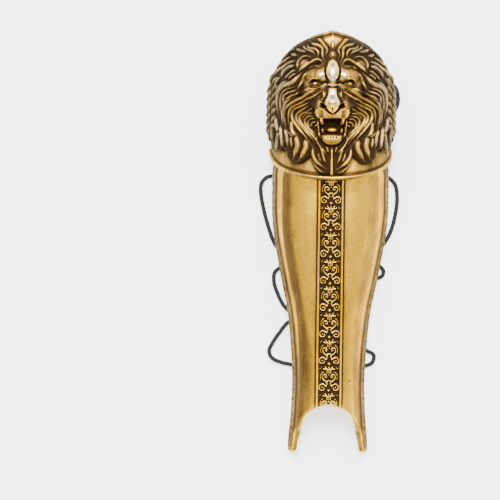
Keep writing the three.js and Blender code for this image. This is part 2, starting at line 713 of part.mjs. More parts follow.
function scrollOrnament() {
  const places = Array.from({ length: pearlCount }, (_, i) => copLowY - firstPearl - i * pearlPitch);
  const field = tipY + archHeight + 0.4;
  return places
    .flatMap((y) => ornamentUnit(y))
    .filter((piece) => piece.boundingBox().min[1] > field);
}

function shinPlate() {
  const innerRows = (angle) => rowsBetween(shinLowY(angle), shinTopY(angle), [0], [0, lap], 16);
  const shell = shellSolid(
    shinOuterSkin(),
    skinOf(shin, spread(-1, 1, 22), innerRows, () => -wall),
  );
  const carved = scrollOrnament().reduce((solid, piece) => solid.add(piece), shell);
  const holes = sides.map((way) =>
    pin(copSurface, way * degToRad(studAngle), studY, studRadius + studClearance, -wall / 2, studHeadFrom),
  );
  const drilled = holes.reduce((solid, hole) => solid.subtract(hole), carved);
  const loopsY = Object.values(shinLoops).map((share) => copLowY - share * shinDrop);
  return withLoops(drilled, shinSurface, loopsY);
}

function cord(route) {
  const path = new THREE.CatmullRomCurve3(route.map((point) => new THREE.Vector3(...point)));
  const round = Array.from({ length: 8 }, (_, i) => {
    const turn = degToRad(45 * i);
    return new THREE.Vector2(Math.cos(turn), Math.sin(turn)).multiplyScalar(cordDiameter / 2);
  });
  const steps = Math.round(path.getLength() / cordStep);
  const tube = solidOf(new THREE.ExtrudeGeometry(new THREE.Shape(round), { steps, extrudePath: path }));
  const knots = [route[0], route.at(-1)].map((end) =>
    solidOf(new THREE.SphereGeometry(knotRadius, 7, 4).translate(...end)),
  );
  return knots.reduce((solid, knot) => solid.add(knot), tube);
}

// The greave

const brass = new THREE.MeshStandardMaterial({ color: 0x9a7a3c, metalness: 0.9, roughness: 0.42 });
const elastic = new THREE.MeshStandardMaterial({ color: 0x141414, metalness: 0, roughness: 0.85 });

function meshOf(name, solid, material) {
  const mesh = new THREE.Mesh(geometryOf(solid), material.clone());
  mesh.name = name;
  return mesh;
}

const greave = new THREE.Group();
greave.add(
  meshOf('knee_cop', kneeCop(), brass),
  meshOf('shin_plate', shinPlate(), brass),
  meshOf('knee_cord', cord(cordRoutes.knee), elastic),
  meshOf('upper_calf_cord', cord(cordRoutes.upperCalf), elastic),
  meshOf('lower_calf_cord', cord(cordRoutes.lowerCalf), elastic),
  meshOf('ankle_cord', cord(cordRoutes.ankle), elastic),
);

export default greave;
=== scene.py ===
"""A cast brass greave with a lion-headed knee plate, at a doll's size, lying front up on a pale surface."""

import math

import bpy
import numpy as np
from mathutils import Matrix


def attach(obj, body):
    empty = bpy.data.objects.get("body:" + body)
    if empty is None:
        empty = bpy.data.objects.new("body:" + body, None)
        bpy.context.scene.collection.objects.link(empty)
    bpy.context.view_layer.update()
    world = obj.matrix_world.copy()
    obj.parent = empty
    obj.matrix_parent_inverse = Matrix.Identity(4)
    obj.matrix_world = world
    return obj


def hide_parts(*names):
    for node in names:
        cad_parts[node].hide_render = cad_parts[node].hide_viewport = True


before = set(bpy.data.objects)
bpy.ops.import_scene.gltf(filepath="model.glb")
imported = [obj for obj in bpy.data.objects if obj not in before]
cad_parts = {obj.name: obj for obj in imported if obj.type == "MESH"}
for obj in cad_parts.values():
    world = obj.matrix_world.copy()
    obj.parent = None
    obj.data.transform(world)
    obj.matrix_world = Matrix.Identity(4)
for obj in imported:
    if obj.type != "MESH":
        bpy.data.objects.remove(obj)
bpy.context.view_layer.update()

MM = 0.001
rng = np.random.default_rng(7)

# Camera, straight above the greave and turned a little against it

CAMERA_AT = (-15.14, -1.79, 900.0)  # mm
CAMERA_TURN = 0.63  # degrees
FIELD = 95.2  # mm of the floor across the picture
SENSOR = 36.0
NEAR_CLIP, FAR_CLIP = 0.05, 20  # m

camera_data = bpy.data.cameras.new("camera")
camera_data.sensor_width = SENSOR
camera_data.lens = SENSOR * CAMERA_AT[2] / FIELD
camera_data.clip_start, camera_data.clip_end = NEAR_CLIP, FAR_CLIP
camera = bpy.data.objects.new("camera", camera_data)
camera.location = [c * MM for c in CAMERA_AT]
camera.rotation_euler = (0, 0, math.radians(CAMERA_TURN))
bpy.context.scene.collection.objects.link(camera)
bpy.context.scene.camera = camera

# Sizes, in mm

COP_HEIGHT = 28.4
COP_HALF_WIDTH = 11.2
COP_DEPTH = 12.35
COP_TOP_FALL = 9.9
COP_PEAK = 0.25
COP_PEAK_SPREAD = 0.2
COP_BLUNT = 0.3
COP_BLUNT_SPREAD = (0.5, 0.85)
COP_LOW_RISE = 5.4
COP_FLARE = 0.15
COP_FLARE_REACH = 6
COP_FOOT = 5.2
COP_FOOT_RUN = 1
TOP_RIM = (0.55, 0.3)  # width and height
LOW_RIM = (0.65, 0.4)
SHIN_DROP = 51.6
SHIN_HALF_WIDTH = 10.6
SHIN_DEPTH = 11.2
ARCH_HEIGHT = 9.3
PRONG_FOOT = 3
PRONG_FOOT_RUN = 2
LAP = 3
LAP_GAP = 0.32
SIDE_RIM = (1.0, 0.5)
BAND_HALF_WIDTH = 2.16
BEAD_HALF_WIDTH = 0.21
BEAD_HEIGHT = 0.27
BAND_SINK = 0.25
WALL = 0.8
SQUARENESS = 2.3
EDGE_LIFT = 1.25
PEARL_PITCH = 5.05
FIRST_PEARL = 4.4
CORD_DIAMETER = 0.8
LOOP_RADIUS = 1.6
LOOP_HOLE_RADIUS = 0.76
LOOP_THICKNESS = 1.2
LOOP_RISE = 2.7
STUD_ANGLE = 52
STUD_RADIUS = 0.6
STUD_HEAD_RADIUS = 1.2
STUD_HEAD_THICKNESS = 0.5
STUD_CLEARANCE = 0.38

APEX_Y = (COP_HEIGHT + SHIN_DROP) / 2
COP_LOW_Y = APEX_Y - COP_HEIGHT
TIP_Y = COP_LOW_Y - SHIN_DROP
BACK_EDGE = math.pi / 2

# Share of the height below the apex, shares of the half width and the depth
COP_SECTIONS = [
    (0, 0.8, 0.72), (0.12, 0.88, 0.83), (0.25, 0.945, 0.915), (0.38, 0.985, 0.97), (0.52, 1, 1), (1, 1, 1),
]
# Share of the drop to the prong tips, shares of the half width and the depth
SHIN_SECTIONS = [
    (0, 1, 1), (0.13, 0.995, 0.975), (0.22, 0.946, 0.935), (0.3, 0.876, 0.895), (0.39, 0.793, 0.85),
    (0.47, 0.71, 0.805), (0.57, 0.655, 0.75), (0.65, 0.625, 0.71), (0.74, 0.608, 0.68),
    (0.82, 0.618, 0.675), (0.91, 0.648, 0.69), (1, 0.672, 0.71),
]
# Degrees round from the front, share of the arch's height
ARCH_OUTLINE = [
    (0, 1), (14, 0.945), (24, 0.885), (34, 0.79), (42, 0.67), (48, 0.545), (54, 0.4), (59, 0.235),
    (63, 0.08), (69, 0.005), (80, 0.01), (90, 0.09),
]

# Plate surfaces


def cubic(start, end, leaving, arriving, t):
    """From one value to another, with a slope at each."""
    rise = end - start
    square, cube = 3 * rise - 2 * leaving - arriving, leaving + arriving - 2 * rise
    return start + leaving * t + square * t**2 + cube * t**3


def smooth_reader(rows):
    """Reads a table by its first column, along smooth curves through its rows."""
    table = np.array(rows, float)
    keys, values = table[:, 0], table[:, 1:]
    secants = np.diff(values, axis=0) / np.diff(keys)[:, None]
    slopes = np.vstack([secants[:1], (secants[:-1] + secants[1:]) / 2, secants[-1:]])

    def read(place):
        place = np.clip(place, keys[0], keys[-1])
        i = np.clip(np.searchsorted(keys, place, side="right") - 1, 0, len(keys) - 2)
        span = (keys[i + 1] - keys[i])[..., None]
        t = (place - keys[i])[..., None] / span
        found = cubic(values[i], values[i + 1], span * slopes[i], span * slopes[i + 1], t)
        return np.moveaxis(found, -1, 0)

    return read


cop_shares = smooth_reader(COP_SECTIONS)
shin_shares = smooth_reader(SHIN_SECTIONS)
arch_rise = smooth_reader(ARCH_OUTLINE)


def smoothstep(value, low, high):
    """0 below the first place, 1 above the second, smooth between. The places may be either way round."""
    t = np.clip((value - low) / (high - low), 0, 1)
    return t * t * (3 - 2 * t)


def section(angle, half_width, depth, y):
    """A point of a half-round section at an angle from the front."""
    across = np.abs(np.sin(angle)) / half_width
    front = np.abs(np.cos(angle)) / depth
    radius = (across**SQUARENESS + front**SQUARENESS) ** (-1 / SQUARENESS)
    return np.stack(np.broadcast_arrays(radius * np.sin(angle), y, radius * np.cos(angle)), -1)


def raised(surface, angle, y, height):
    """A surface raised along its own outward normal."""
    step = 1e-3
    across = surface(angle + step, y) - surface(angle - step, y)
    along = surface(angle, y + step) - surface(angle, y - step)
    normal = np.cross(across, along)
    normal /= np.linalg.norm(normal, axis=-1, keepdims=True)
    height = np.broadcast_to(height, normal.shape[:-1])
    return surface(angle, y) + normal * height[..., None]


def cop_top(angle):
    peak = COP_PEAK * smoothstep(np.abs(angle), 0, COP_PEAK_SPREAD)
    blunt = COP_BLUNT * (1 - smoothstep(np.abs(angle), *COP_BLUNT_SPREAD))
    return APEX_Y - COP_TOP_FALL * (1 - np.cos(angle)) - peak - blunt


def cop_low(angle):
    return COP_LOW_Y + COP_LOW_RISE * (1 - np.cos(angle))


def cop_surface(angle, y):
    half_width, depth = cop_shares((APEX_Y - y) / COP_HEIGHT)
    flare = COP_FLARE * (1 - smoothstep(y - cop_low(angle), -LOW_RIM[0], COP_FLARE_REACH))
    return section(angle, COP_HALF_WIDTH * half_width + flare, COP_DEPTH * depth + flare, y)


def cop_edge_angle(y):
    foot = cop_low(BACK_EDGE) + COP_FOOT
    return np.arctan2(COP_HALF_WIDTH, EDGE_LIFT * smoothstep(y, foot, foot + COP_FOOT_RUN))


def shin_section(y):
    half_width, depth = shin_shares((COP_LOW_Y - y) / SHIN_DROP)
    lift = EDGE_LIFT * smoothstep(y, TIP_Y + PRONG_FOOT, TIP_Y + PRONG_FOOT + PRONG_FOOT_RUN)
    return SHIN_HALF_WIDTH * half_width, SHIN_DEPTH * depth, lift


def shin_surface(angle, y):
    half_width, depth, _ = shin_section(y)
    own = section(angle, half_width, depth, y)
    under = smoothstep(y, cop_low(angle) - LAP, cop_low(angle))[..., None]
    inside = raised(cop_surface, angle, y, -WALL - LAP_GAP)
    return own * (1 - under) + inside * under


def shin_top(angle):
    return cop_low(angle) + LAP


def shin_low(angle):
    return TIP_Y + ARCH_HEIGHT * arch_rise(np.degrees(np.abs(angle)))[0]


# The mask is drawn as it is seen from the front, in squares across from its ridge and down from the apex,
# and it is laid on the plate by the plate's girth.
SQUARE = 80 / 420  # mm
MANE_SWELL = 0.95  # mm that the mane stands out, where it widens the outline

girth_angles = np.linspace(0, BACK_EDGE, 361)
arc = section(girth_angles, COP_HALF_WIDTH, COP_DEPTH, 0)
girth_at = np.concatenate([[0], np.cumsum(np.linalg.norm(np.diff(arc, axis=0), axis=1))])
arc_tangent = np.gradient(arc, axis=0)
across_at = arc[:, 0] - MANE_SWELL * arc_tangent[:, 2] / np.linalg.norm(arc_tangent, axis=1)


def cop_share(down):
    """Share of the plate's full half width at squares down from the apex."""
    return cop_shares(np.asarray(down, float) * SQUARE / COP_HEIGHT)[0]


def flat(points):
    """Points of the front view, laid out by girth."""
    across, down = np.array(points, float).T
    share = cop_share(down)
    girth = share * np.interp(across * SQUARE / share, across_at, girth_at) / SQUARE
    return np.stack([girth, down], 1)


def girth_of(across, down):
    """Squares round the girth of one place of the front view."""
    return flat([(across, down)])[0, 0]


class Relief:
    """A height field in mm over a grid of squares, mirrored about its left edge."""

    def __init__(self, across, low, high, pitch):
        self.pitch = pitch
        self.low = low
        self.u = np.arange(-2, across, pitch)
        self.v = np.arange(low, high, pitch)
        self.uu, self.vv = np.meshgrid(self.u, self.v)
        self.h = np.zeros(self.uu.shape)

    def window(self, points, reach):
        """Rows and columns that lie near a line."""
        (u0, v0), (u1, v1) = points.min(axis=0) - reach, points.max(axis=0) + reach
        return slice(*np.searchsorted(self.v, [v0, v1])), slice(*np.searchsorted(self.u, [u0, u1]))

    def distance(self, line, rows, columns):
        """Distance to a polyline and the share of its length at the nearest point."""
        u, v = self.uu[rows, columns], self.vv[rows, columns]
        best, along = np.full(u.shape, np.inf), np.zeros(u.shape)
        lengths = np.linalg.norm(np.diff(line, axis=0), axis=1)
        total, run = max(lengths.sum(), 1e-6), 0
        for (ax, ay), (bx, by), length in zip(line, line[1:], lengths):
            dx, dy = bx - ax, by - ay
            t = np.clip(((u - ax) * dx + (v - ay) * dy) / max(dx * dx + dy * dy, 1e-9), 0, 1)
            d = np.hypot(u - ax - t * dx, v - ay - t * dy)
            near = d < best
            best[near] = d[near]
            along[near] = (run + t * length)[near] / total
            run += length
        return best, along

    def stroke(self, line, half, high, root=0.2, tip=0.35, power=0.85):
        """A ridge or, with a negative height, a groove along a smooth line, thinner at its ends."""
        line = spline(line)
        rows, columns = self.window(line, half + 0.5)
        d, along = self.distance(line, rows, columns)
        taper = 0.3 + 0.7 * np.minimum(smoothstep(along, 0, root), 1 - smoothstep(along, 1 - tip, 1))
        cross = np.clip(1 - (d / (half * taper)) ** 2, 0, 1) ** power
        return rows, columns, high * taper * cross

    def highest(self, strokes):
        """The highest of several strokes at each square."""
        layer = np.zeros(self.h.shape)
        for s in strokes:
            rows, columns, h = self.stroke(**s)
            layer[rows, columns] = np.maximum(layer[rows, columns], h)
        return layer

    def dome(self, across, down, wide, tall, high, turn, power):
        """A rounded mass, or a pair of them where it lies off the middle."""
        c, s = math.cos(math.radians(turn)), math.sin(math.radians(turn))
        total = np.zeros(self.h.shape)
        for way in (1, -1) if across else (1,):
            du, dv = self.uu * way - across, self.vv - down
            a, b = (du * c + dv * s) / wide, (dv * c - du * s) / tall
            total = np.maximum(total, np.clip(1 - a * a - b * b, 0, 1) ** power)
        return high * total

    def inside(self, outline, slope):
        """1 well inside a closed outline, 0 outside."""
        loop = np.vstack([outline, outline[:1]])
        crossings = np.zeros(self.h.shape, bool)
        for (ax, ay), (bx, by) in zip(loop, loop[1:]):
            if ay == by:
                continue
            between = (ay <= self.vv) != (by <= self.vv)
            crossings ^= between & (self.uu < ax + (self.vv - ay) / (by - ay) * (bx - ax))
        d, _ = self.distance(loop, slice(None), slice(None))
        return smoothstep(np.where(crossings, d, -d), -slope, slope)

    def hollow(self, radius, limit):
        """How far the field lies below its blurred self, up to a limit in mm."""
        return np.clip(self.blurred(radius) - self.h, -limit, limit)

    def blurred(self, radius):
        return blur(self.h, radius / self.pitch)

    def sample(self, field, u, v):
        """A field's value at any places, between its squares."""
        x = np.clip((np.abs(u) - self.u[0]) / self.pitch, 0, len(self.u) - 1.001)
        y = np.clip((v - self.low) / self.pitch, 0, len(self.v) - 1.001)
        i, j = x.astype(int), y.astype(int)
        fx, fy = x - i, y - j
        top = field[j, i] * (1 - fx) + field[j, i + 1] * fx
        low = field[j + 1, i] * (1 - fx) + field[j + 1, i + 1] * fx
        return top * (1 - fy) + low * fy


def blur(field, radius):
    """Field smoothed over a radius in its own steps, down its columns and then along its rows."""
    reach = max(1, round(2.2 * radius))
    weights = np.exp(-0.5 * (np.arange(-reach, reach + 1) / radius) ** 2)
    weights /= weights.sum()
    for _ in range(2):
        padded = np.pad(field, [(reach, reach), (0, 0)], mode="edge")
        field = sum(w * padded[k : k + len(field)] for k, w in enumerate(weights)).T
    return field


def spline(points, steps=6, evenness=0.0):
    """A smooth line through points. Evenness 0.5 keeps it calm where their spacing changes."""
    p = np.array(points, float)
    p = np.vstack([2 * p[0] - p[1], p, 2 * p[-1] - p[-2]])
    t = np.linspace(0, 1, steps, endpoint=False)[:, None]
    line = []
    for a, b, c, d in zip(p, p[1:], p[2:], p[3:]):
        d0, d1, d2 = (np.linalg.norm(v) ** evenness for v in (b - a, c - b, d - c))
        m1 = ((b - a) / d0 - (c - a) / (d0 + d1) + (c - b) / d1) * d1
        m2 = ((c - b) / d1 - (d - b) / (d1 + d2) + (d - c) / d2) * d1
        line.append(cubic(b, c, m1, m2, t))
    return np.vstack([*line, p[-2:-1]])


# Strands of hair: half width in squares, height in mm, and points on the front view
STRANDS = [
    (1.9, 0.45, [(18, 9), (13, 12), (8.5, 17), (6, 21), (7.5, 25.5), (5.5, 29)]),
    (2.0, 0.50, [(23.5, 12.7), (20, 15.4), (14.6, 16.3), (11, 19.4), (10.6, 24.8), (9.7, 29.2), (8, 32.8)]),
    (1.8, 0.45, [(27, 14.5), (24.4, 18.9), (18.2, 19.8), (15, 23), (15, 26.5), (17, 29.2)]),
    (1.8, 0.45, [(31, 15.8), (28.5, 19.4), (24.4, 21.2), (20.4, 23), (18.2, 26.5)]),
    (1.8, 0.45, [(37.4, 20.3), (31.6, 22.1), (25.8, 22.5)]),
    (1.8, 0.45, [(42, 25.6), (36, 26.5)]),
    (1.8, 0.5, [(9.8, 35), (12.2, 31), (16.5, 30), (21.8, 32.8), (27, 36.4), (33.4, 41.7), (38.3, 44.8)]),
    (1.2, 0.35, [(14.6, 36.4), (20, 36.4), (25.8, 39.9)]),
    (1.7, 0.45, [(25.3, 42.6), (28.5, 47.1), (30.7, 52.9), (33.4, 58.2), (34.3, 63.5)]),
    (3.0, 0.55, [(31, 43), (36, 49), (41, 54), (47, 56), (51, 60), (53, 66), (53.8, 74), (53.2, 82),
                 (52, 89)]),
    (1.6, 0.4, [(36.5, 57), (40, 58.3), (45, 60), (48.8, 63.5), (50.6, 70), (50.8, 77), (50, 84),
                (48.8, 91)]),
    (1.7, 0.45, [(35.5, 60), (38.3, 61.7), (44, 63.5), (47.5, 67), (48.2, 73), (48.6, 79)]),
    (2.3, 0.5, [(33.5, 61.5), (36.5, 65.3), (41.5, 68), (45, 71.5), (46.8, 77), (48.6, 84), (48.4, 92),
                (47.6, 99)]),
    (2.2, 0.5, [(55.2, 86), (54.6, 93), (53.4, 100), (52.4, 106)]),
    (2.2, 0.45, [(44, 51), (48.5, 54), (52.5, 58.5), (55, 65), (56, 72)]),
    (2.0, 0.4, [(51.7, 47), (54.8, 52), (56.8, 58), (57.6, 66)]),
    (1.5, 0.4, [(17.5, 84), (21.5, 83.6), (26, 85), (28.8, 88.6), (28.4, 93)]),
    (1.2, 0.35, [(18.5, 79), (22, 80.2), (26, 81.6)]),
    (2.2, 0.5, [(50.8, 95), (49.9, 103), (49, 112), (48.2, 121)]),
    (2.6, 0.55, [(57.6, 92), (58.4, 99), (58.2, 106), (57, 113)]),
    (2.0, 0.55, [(10.6, 56.2), (16, 60.2), (22.7, 64.2), (29.4, 68.2), (36, 71.4), (42.3, 75.8), (45.9, 80.3),
                 (47.2, 87), (46.3, 92.8), (45.9, 98.1), (45, 104)]),
    (1.9, 0.5, [(8.4, 60.2), (13.7, 63.3), (19.1, 67.3), (24, 69.1), (29.4, 72.7), (36, 75.8), (40.5, 78.9),
                (42.3, 84.7), (42.7, 91.4), (42.3, 98.1), (41.4, 100.8)]),
    (2.0, 0.5, [(18.6, 69.4), (24.9, 74), (31.6, 77.2), (36.9, 79.8), (39.2, 84.7), (38.3, 90.1), (35.2, 95),
                (31.6, 99.9), (27.1, 105.3), (22.7, 111.1), (20, 116)]),
    (2.0, 0.5, [(19.6, 74), (27.1, 78.9), (32, 82.1), (34.7, 85.6), (34.7, 90.1), (31.6, 94.5), (27.1, 99.5),
                (22.7, 104.8), (18.2, 110.6), (14.2, 117.3)]),
    (2.0, 0.5, [(18.2, 78.4), (24.4, 82.1), (29.4, 84.3), (32, 88.3), (30.3, 93.7), (25, 99.5), (19.5, 104.8),
                (13.7, 112.9), (8.4, 119.5)]),
    (1.8, 0.45, [(15.1, 86.5), (22.7, 86.5), (26.7, 90.5), (25.8, 95.9), (20.4, 100.8), (15.5, 106),
                 (12.5, 111)]),
    (1.5, 0.4, [(14, 89.5), (20, 89), (23.5, 92.5), (22.5, 97.5), (18.5, 101.5)]),
    (1.4, 0.4, [(14.5, 92.5), (18.5, 92.5), (20.3, 95.3), (18.5, 98.8)]),
    (1.3, 0.4, [(14, 95.5), (16.5, 95.8), (17, 98)]),
    (1.4, 0.5, [(14.2, 88.3), (12.8, 95.9), (12.4, 103.9), (11.5, 108), (10.5, 112)]),
    (2.4, 0.5, [(46.5, 98), (44.5, 104), (43.6, 111), (42.8, 118.5)]),
    (1.8, 0.45, [(40.5, 106), (39.6, 115), (39.3, 119)]),
    (3.0, 0.6, [(34.5, 104), (34.3, 109.7), (33.4, 116), (35.2, 122.4), (37.8, 129.1)]),
    (3.0, 0.6, [(26.5, 108), (25.3, 114.7), (25.8, 118.9), (28.9, 125.1), (32, 130)]),
    (2.6, 0.5, [(52.5, 100), (53, 107), (54.3, 120), (53.9, 125)]),
    (1.9, 0.5, [(19.1, 116.2), (18.2, 124.7), (14.6, 131.4), (9, 136.5), (4.8, 139.4)]),
    (1.7, 0.5, [(11.5, 116), (9.7, 121.5), (7.5, 129.1), (4.3, 135.8)]),
    (0.85, 0.5, [(21.6, 126), (19.4, 131.5), (15, 137), (9.3, 141.8), (3.6, 144.2)]),
    (1.4, 0.42, [(13.9, 104), (14.9, 110), (11.4, 117), (7.4, 121), (4.6, 127)]),
    (1.5, 0.3, [(13.6, 122), (12.2, 128), (9, 133.5)]),
    (1.2, 0.35, [(5.6, 115.5), (4.2, 119), (3.2, 124)]),
    (1.5, 0.4, [(43.6, 101.3), (40, 105), (36.5, 108)]),
    (2.5, 0.5, [(40, 90), (39.6, 93.7), (38.7, 101.7), (33.8, 108)]),
    (1.5, 0.45, [(37.4, 31.4), (42.3, 33.7), (46.3, 36.4), (52, 42)]),
    (2.6, 0.5, [(37.8, 35.9), (43.6, 38.1), (48.5, 43.1), (51.7, 48.9)]),
    (1.8, 0.45, [(36.5, 40.4), (40.5, 42.6), (45, 47.1), (48.1, 50.6)]),
    (1.5, 0.4, [(36.9, 43.9), (42.3, 48.4), (44, 51)]),
    (1.5, 0.45, [(38.7, 20.3), (43.2, 22.5), (48.1, 28.8), (53, 36)]),
    (1.8, 0.45, [(41.4, 26.5), (45.9, 30.5), (52.6, 35.9), (57, 43)]),
    (1.8, 0.45, [(40.5, 30.1), (48.1, 36.8), (54.8, 42.6), (58, 50)]),
    (1.25, 0.42, [(35, 41.7), (35.2, 34.5), (32.8, 30), (28.8, 27.4), (24.2, 27.3), (20.4, 29.6)]),
    (1.4, 0.5, [(23.5, 31.4), (29, 37), (35.2, 42.6)]),
]

# How the strands are widened in the crown and below it, and raised, and which have a parting
CROWN_END = 33
STRAND_WIDER = (1.12, 1.16)
STRAND_HIGHER = 1.2
PARTED_HALF_WIDTH = 1.7
BEARD = [(0, 115), (0, 130), (0, 147)]
# Ridge of the plate over the mask
UPPER_KEEL = [(0, 0), (0, 3), (0, 7)]
LOWER_KEEL = [(0, 12), (0, 17), (0, 20)]

# Overlapping locks on the flanks, in columns: squares round the girth, first one down
FLANK_COLUMNS = [(59, 42), (71, 47), (83, 52)]
FLANK_LOCK = [(0, 0), (4.5, 0.6), (9, 3.6), (12, 8.6), (13, 13)]
FLANK_PITCH = 7.6
FLANK_END = 101

# Edge of the mane: points of the front view, then squares round the girth and down, then the front view again
MANE_TOP = [(0, 21), (6, 15), (13, 9), (22, 9.5), (35, 15), (46, 24.5), (54, 35)]
MANE_FLANK = [(84, 50), (94, 62), (94, 104), (87, 112), (82, 105), (77, 112), (73, 120)]
MANE_LOBES = [
    (51, 121), (49, 118), (46, 121), (45, 127), (41, 131.5), (35, 133), (29, 131.5), (23, 127),
    (21.5, 125), (20, 130), (15.3, 138.4), (9, 143.2), (0, 145.5),
]

# Rounded masses of the face: across, down, wide, tall, high in mm, turn in degrees, sharpness
MASSES = [
    (0, 41.5, 6.6, 13.5, 1.5, 0, 0.65),
    (10.4, 44.5, 6.0, 9.5, 0.45, -22, 1.0),
    (18, 45, 11, 6.5, 0.5, 8, 0.9),
    (17, 53.3, 9, 4.6, -0.2, 0, 1.0),
    (23.6, 61, 8.5, 3.6, 0.5, 22, 0.9),
    (0, 75, 9, 26, 1.3, 0, 1.2),
    (0, 80, 21, 15, 0.8, 0, 1.1),
    (7.6, 64.5, 2.4, 4.6, 0.4, 0, 1.0),
    (16, 71.5, 7.0, 8.5, 0.5, 0, 1.2),
    (8.6, 83.5, 8.5, 6.2, 0.6, 0, 0.8),
    (4.3, 57.3, 2.8, 1.0, -0.4, 20, 0.9),
    (7.6, 76.4, 2.6, 1.8, -0.9, -35, 0.7),
    (0, 108, 10, 7.5, 0.6, 0, 0.9),
    (1.4, 107, 0.9, 0.9, -0.45, 0, 1.0),
    (4.2, 107, 0.9, 0.9, -0.45, 0, 1.0),
]
# Raised and sunk flats of the face: edge slope in squares, height in mm, half outline
FLATS = [
    (1.2, 0.7, [(0, 58.4), (3.4, 58.6), (3.7, 62), (4.3, 66), (6.4, 70.6), (6.4, 72.6), (0, 73.2)]),
    (1.0, 0.5, [(0, 73), (7.2, 73.2), (6.4, 76), (4.6, 78.5), (2.8, 81.5), (0, 83)]),
    (2.6, 0.6, [(0, 79), (8, 78.5), (13, 76.5), (16, 79.5), (15.8, 84), (13.4, 88.8), (0, 89)]),
    (1.7, 0.8, [(0, 104.4), (10.4, 104.3), (10.3, 107), (8.8, 111), (5.5, 114.2), (0, 115)]),
]
EYE_OUTLINE = [
    (24, 55.6), (21, 52.4), (18, 51.2), (14.5, 52), (11.5, 54), (10, 54.8), (13, 56.4), (16.5, 57.2),
    (20.5, 56.9),
]
# Ridges and grooves of the face: half width in squares, height or depth in mm, points
FACE_RIDGES = [
    (0.8, 0.3, [(24.6, 53.8), (21, 50.3), (17.5, 49), (13.5, 49.9)]),
    (0.8, 0.35, [(23.4, 58.2), (19, 59.6), (14.5, 58.9), (11, 57)]),
    (0.95, 0.6, [(13.2, 75.4), (11.4, 78.2), (8.6, 79.8), (5.8, 81.6)]),
    (1.0, 0.4, [(8.8, 60), (8.6, 66), (10.4, 71.5)]),
    (0.75, 0.5, [(14.2, 89.4), (13.4, 96.1), (12.2, 103.3), (10, 112)]),
    (1.0, 0.35, [(0, 88.4), (5.7, 88.2), (11.2, 88.4), (14.6, 85.5)]),
    (0.9, 0.5, [(4.6, 54), (2.4, 55.3), (0, 56.4)]),
]
FACE_GROOVES = [
    (0.8, 0.6, [(7.2, 36), (6.9, 43), (5.4, 48.4), (2.6, 51.6), (0, 52.4)]),
    (0.75, 0.55, [(25, 55.8), (21.4, 52), (18, 50.7), (14.2, 51.4), (10.6, 53.3), (6.5, 52.4), (3, 52.9),
                  (0, 52.5)]),
    (0.65, 0.45, [(24.4, 56), (20.5, 57.6), (16.5, 58), (13, 57.2), (10, 55.2)]),
    (1.2, 0.9, [(11.2, 73.4), (9, 75.6), (6.4, 77.6)]),
    (1.25, 0.9, [(6.8, 77), (4.8, 80.4), (2.0, 83.4), (0, 84.2)]),
    (0.6, 0.45, [(0, 77), (0, 82)]),
    (0.6, 0.4, [(0, 84), (0, 88.4)]),
    (1.3, 0.5, [(11.2, 33.8), (17, 35), (24.1, 38.2)]),
    (1.1, 0.45, [(28.2, 47.1), (30.2, 53), (31, 59), (35.8, 63.5)]),
    (1.2, 0.5, [(27.7, 63.8), (44.7, 70.5), (47.8, 75)]),
    (0.9, 0.45, [(16.8, 76), (18, 80), (17.4, 84), (15, 88)]),
    (0.6, 0.3, [(12.6, 62), (13.2, 59.2), (17.5, 61.6), (21.5, 65)]),
]
# Places of the face that get a painted highlight
NOSE_BRIDGE = [(0, 58.4), (3.2, 58.8), (3.6, 63), (4.4, 67.5), (6.0, 70.6), (5.4, 72.4), (0, 72.8)]
INNER_BROW = [(9.2, 38.5), (12.2, 45), (13, 49.2), (10, 50), (6.8, 49.6), (7.8, 44)]
FACE_OUTLINE = [
    (0, 30), (9, 33), (24, 40), (30, 50), (28, 60), (20, 66), (19, 75), (18, 86), (14, 95), (13, 106),
    (10, 115), (0, 117),
]
MOUTH = [(0, 88.8), (7.3, 89), (8.3, 93), (11.3, 94.5), (11.3, 103.4), (0, 103.8)]
EYE_SINK = 0.14  # mm
# Single masses in the same terms
EYE = (17.6, 53.8, 2.0, 2.0, 0.32, 0, 0.7)
EAR = (29.5, 34.5, 5.4, 6, 1.0, -20, 0.5)
SKULL = (0, 62, 40, 58, 1.4, 0, 1.0)
KNOB = (0, 25.5, 3.2, 3.6, 1.4, 0, 0.7)
TONGUE = (0, 99.8, 6.2, 3.6, 1.1, 0, 0.6)
UPPER_FANG = (9.575, 90.6, 2.2, 5.4, 2.6, 8, 0.5)
LOWER_FANG = (8.976, 100.2, 1.15, 4.0, 1.9, 0, 0.5)
# Places of the painted highlight (forehead, middle of the brow) and of darker metal (muzzle, chin, whiskers)
# in the same terms, with a strength in place of a height
FOREHEAD = (0, 42, 4.9, 11, 1.0, 0, 0.4)
BROW_MIDDLE = (0, 55.2, 7.5, 2.0, 0.7, 0, 0.5)
MUZZLE = (0, 82, 15, 11, 1.0, 0, 0.4)
CHIN = (0, 109, 12, 7, 1.0, 0, 0.4)
WHISKERS = (16.5, 71, 4.5, 5.5, 1.0, 0, 0.7)
MOUTH_FLOOR = 0.3  # mm over the plate
FANG_FOOT = 0.5  # mm over the plate
MASK_LEVEL = 9.0  # mm over the floor, where the squares of the front view are true


def mirrored(outline):
    outline = np.asarray(outline, float)
    return np.vstack([outline, (outline * [-1, 1])[::-1]])


def mass(r, across, down, *form):
    """A rounded mass at a place of the front view."""
    return r.dome(girth_of(across, down), down, *form)


def strokes_of(rows, place=flat, **shape):
    """Strokes from rows of half width, height and points."""
    return [dict(line=place(points), half=half, high=high, **shape) for half, high, points in rows]


